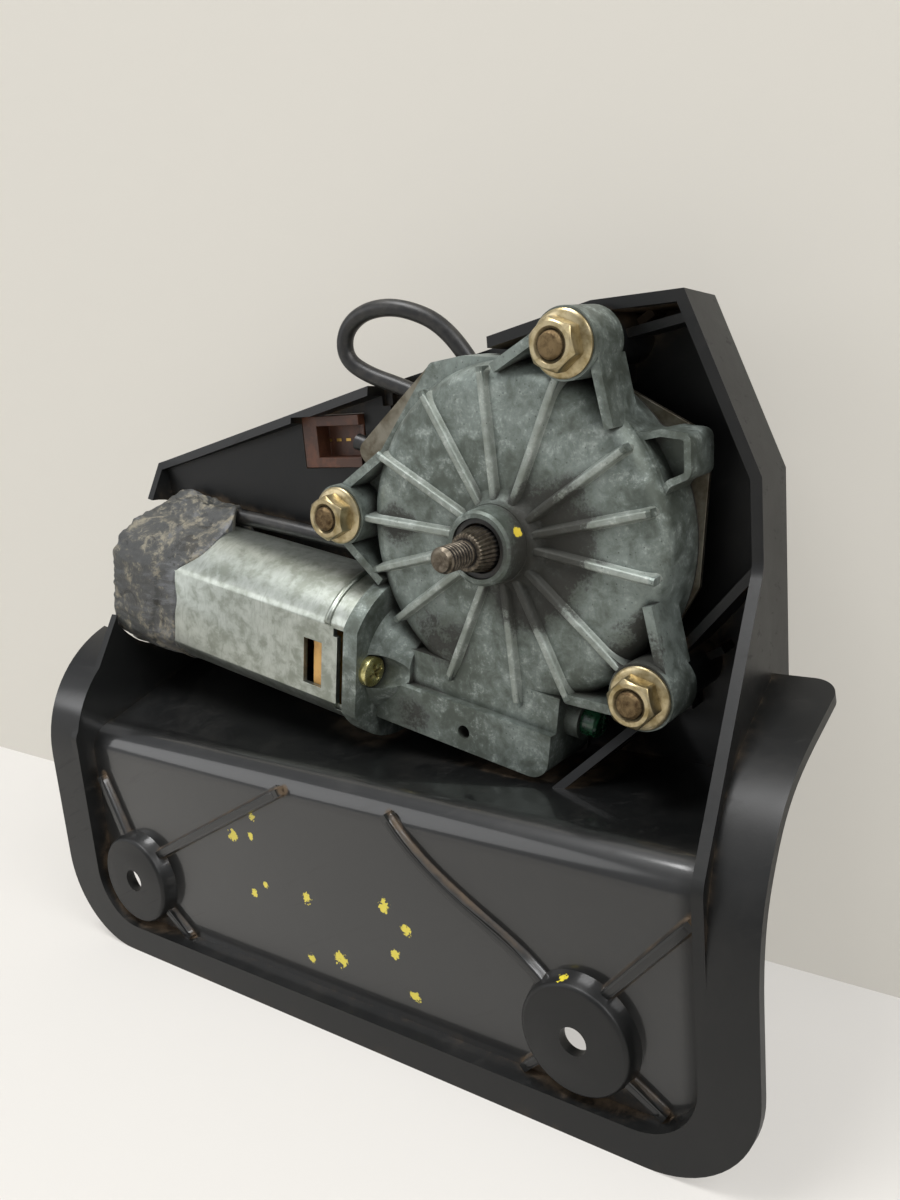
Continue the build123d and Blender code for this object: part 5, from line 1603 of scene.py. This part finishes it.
@dataclass
class Loom:
    """Black lead from the taped end over the carrier's edge to the brown connector."""

    shop: Workshop
    diameter: float = 4.4
    length: float = 0.27    # metres
    route: tuple[Place, ...] = (
        (-113.0, 20.5, 2.9), (-98.0, 22.6, 0.6), (-72.0, 25.6, -4.2), (-56.0, 29.2, -8.6),
        (-32.0, 31.0, -6.5), (-17.0, 32.1, 10.0), (-15.5, 32.1, 31.0), (-26.0, 30.8, 48.5),
        (-38.0, 28.0, 54.6), (-49.5, 27.2, 54.6), (-57.0, 27.2, 50.0), (-58.0, 27.6, 43.0),
        (-52.0, 28.8, 38.5), (-41.5, 30.4, 34.6), (-30.0, 31.0, 29.6), (-24.6, 31.5, 22.0),
        (-27.0, 31.8, 14.6), (-35.0, 32.0, 12.8), (-46.0, 31.4, 16.8), (-58.6, 29.6, 21.2),
    )

    def build(self) -> None:
        """Lay the lead on its route and finish its connector."""
        self.cable()
        self.shop.refine("connector", BROWN_PLASTIC, bevel=0.2)
        self.shop.dress("connector_pins", BRASS)

    def cable(self) -> None:
        """Make the lead a smooth curve whose control points are the route."""
        data = bpy.data.curves.new("lead", "CURVE")
        data.dimensions = "3D"
        data.bevel_depth = self.diameter / 2 * MM
        data.bevel_resolution = 6
        data.resolution_u = 10
        data.use_fill_caps = True
        spline = data.splines.new("NURBS")
        spline.points.add(len(self.route) - 1)
        places = self.shop.datum.all(np.array(self.route))
        weighted = np.column_stack([places, np.ones(len(places))])
        spline.points.foreach_set("co", weighted.ravel())
        spline.order_u = 3
        spline.use_endpoint_u = True
        lead = bpy.data.objects.new("lead", data)
        bpy.context.scene.collection.objects.link(lead)
        self.shop.place(lead, CABLE_SHEATH, ["loom_cable"])
        self.diameter * MM


@dataclass(frozen=True)
class Lamp:
    """A round soft lamp: where it hangs, what it faces, its size in metres and its watts."""

    name: str
    spot: Place
    target: Place
    size: float
    power: float


@dataclass
class Studio:
    """Pale table and wall, soft lights and the camera."""

    datum: Datum
    eye: Place = (136.6, -185.8, 42.5)
    forward: Place = (-0.60032, 0.76729, -0.22555)
    above: Place = (-0.06990, 0.23061, 0.97053)
    lens: float = 21.376
    sensor: float = 24.0
    nearest: float = 0.005  # metres
    wall_y: float = 62.0
    wall_top: float = 1400.0
    table_z: float = -122.8
    table_front: float = -1200.0
    half_wide: float = 1500.0
    table: Colour = rgb(224, 221, 216)
    wall: Colour = rgb(210, 206, 197)
    evenness: float = 0.6
    air: Colour = (0.94, 0.96, 1.0)
    air_strength: float = 0.38
    lamps: tuple[Lamp, ...] = (
        Lamp("ceiling lamp", (-250, -420, 1300), (0, 10, -20), size=0.6, power=16.0),
        Lamp("window light", (-900, -900, 450), (0, 0, -20), size=0.9, power=4.0),
        Lamp("fill light", (900, -250, 800), (0, 0, -20), size=0.7, power=9.0),
    )

    def build(self) -> None:
        """Set the scene round the object."""
        self.backdrop()
        self.lights()
        self.camera()
        bpy.context.scene.view_settings.view_transform = "Standard"

    def paper(self, name: str, colour: Colour) -> bpy.types.Material:
        """Make a pale surface that can't be seen from behind.

        Seen by the camera or in a reflection it gives part of its own colour as light, which
        evens it out; a shadow on it still shows.

        Args:
            name: The material's name.
            colour: Its colour.

        Returns:
            The material.
        """
        shader = Shader(name, Base_Color=colour, Roughness=0.85)
        behind = shader.node("ShaderNodeNewGeometry").outputs["Backfacing"]
        clear = shader.node("ShaderNodeBsdfTransparent").outputs[0]
        ray = shader.node("ShaderNodeLightPath")
        mirrored = Signal(shader, ray.outputs["Is Glossy Ray"])
        seen = Signal(shader, ray.outputs["Is Camera Ray"]).either(mirrored)
        even = shader.node("ShaderNodeEmission", None, {"Color": colour})
        front = shader.node("ShaderNodeMixShader", None, {
            0: seen * self.evenness, 1: shader.surface.outputs[0], 2: even.outputs[0]})
        both = shader.node("ShaderNodeMixShader", None,
                           {0: behind, 1: front.outputs[0], 2: clear})
        shader.feed(shader.output.inputs["Surface"], both.outputs[0])
        return shader.material

    def backdrop(self) -> None:
        """Lay the table and stand the wall behind the object."""
        low, side, wall = self.table_z - 0.05, self.half_wide, self.wall_y
        front, top = self.table_front, self.wall_top
        sheets = (
            ("table", self.table,
             [(-side, front, low), (side, front, low), (side, wall, low), (-side, wall, low)]),
            ("wall", self.wall,
             [(-side, wall, low), (side, wall, low), (side, wall, top), (-side, wall, top)]),
        )
        for name, colour, corners in sheets:
            mesh = bpy.data.meshes.new(name)
            mesh.from_pydata(self.datum.all(np.array(corners)).tolist(), [], [(0, 1, 2, 3)])
            thing = bpy.data.objects.new(name, mesh)
            bpy.context.scene.collection.objects.link(thing)
            mesh.materials.append(self.paper("pale " + name, colour))

    def lights(self) -> None:
        """Hang soft lamps above, to the left and to the right, in a pale world."""
        world = bpy.data.worlds.new("room")
        bpy.context.scene.world = world
        world.use_nodes = True
        back = world.node_tree.nodes["Background"]
        back.inputs["Color"].default_value = (*self.air, 1.0)
        back.inputs["Strength"].default_value = self.air_strength
        for plan in self.lamps:
            data = bpy.data.lights.new(plan.name, "AREA")
            data.shape = "DISK"
            data.size = plan.size
            data.energy = plan.power
            lamp = bpy.data.objects.new(plan.name, data)
            bpy.context.scene.collection.objects.link(lamp)
            start = Vector(self.datum.at(*plan.spot))
            lamp.location = start
            gaze = Vector(self.datum.at(*plan.target)) - start
            lamp.rotation_euler = gaze.to_track_quat("-Z", "Y").to_euler()

    def camera(self) -> None:
        """Look at the object from its right, slightly from above."""
        data = bpy.data.cameras.new("camera")
        data.sensor_fit = "VERTICAL"
        data.sensor_height = self.sensor
        data.sensor_width = self.sensor
        data.lens = self.lens
        data.clip_start = self.nearest
        camera = bpy.data.objects.new("camera", data)
        bpy.context.scene.collection.objects.link(camera)
        forward, up = Vector(self.forward), Vector(self.above)
        turn = Matrix((forward.cross(up), up, -forward)).transposed().to_4x4()
        camera.matrix_world = Matrix.Translation(Vector(self.datum.at(*self.eye))) @ turn
        bpy.context.scene.camera = camera


def find_datum(record: Mapping[str, object]) -> Datum:
    """Take the spindle's place from the record's joint.

    Args:
        record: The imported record.

    Returns:
        The datum that the classes measure from.
    """
    joint = next(j for j in record["behaviour"]["joints"] if j["name"] == "spindle_spin")
    return Datum(tuple(joint["pos_m"]))


def main() -> None:
    """Build every sub-assembly in order."""
    logging.basicConfig(level=logging.INFO, format="%(name)s %(message)s")
    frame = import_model()
    datum = find_datum(frame["record"])
    shop = Workshop(frame, datum)
    for part in (Carrier(shop), StudJoints(shop), Gearbox(shop), Motor(shop), Loom(shop),
                 Studio(datum)):
        part.build()
    bare = sorted(set(frame["nodes"]) - shop.dressed)
    LOG.info("nodes without a finish: %s", bare or "none")


if __name__ == "__main__":
    main()
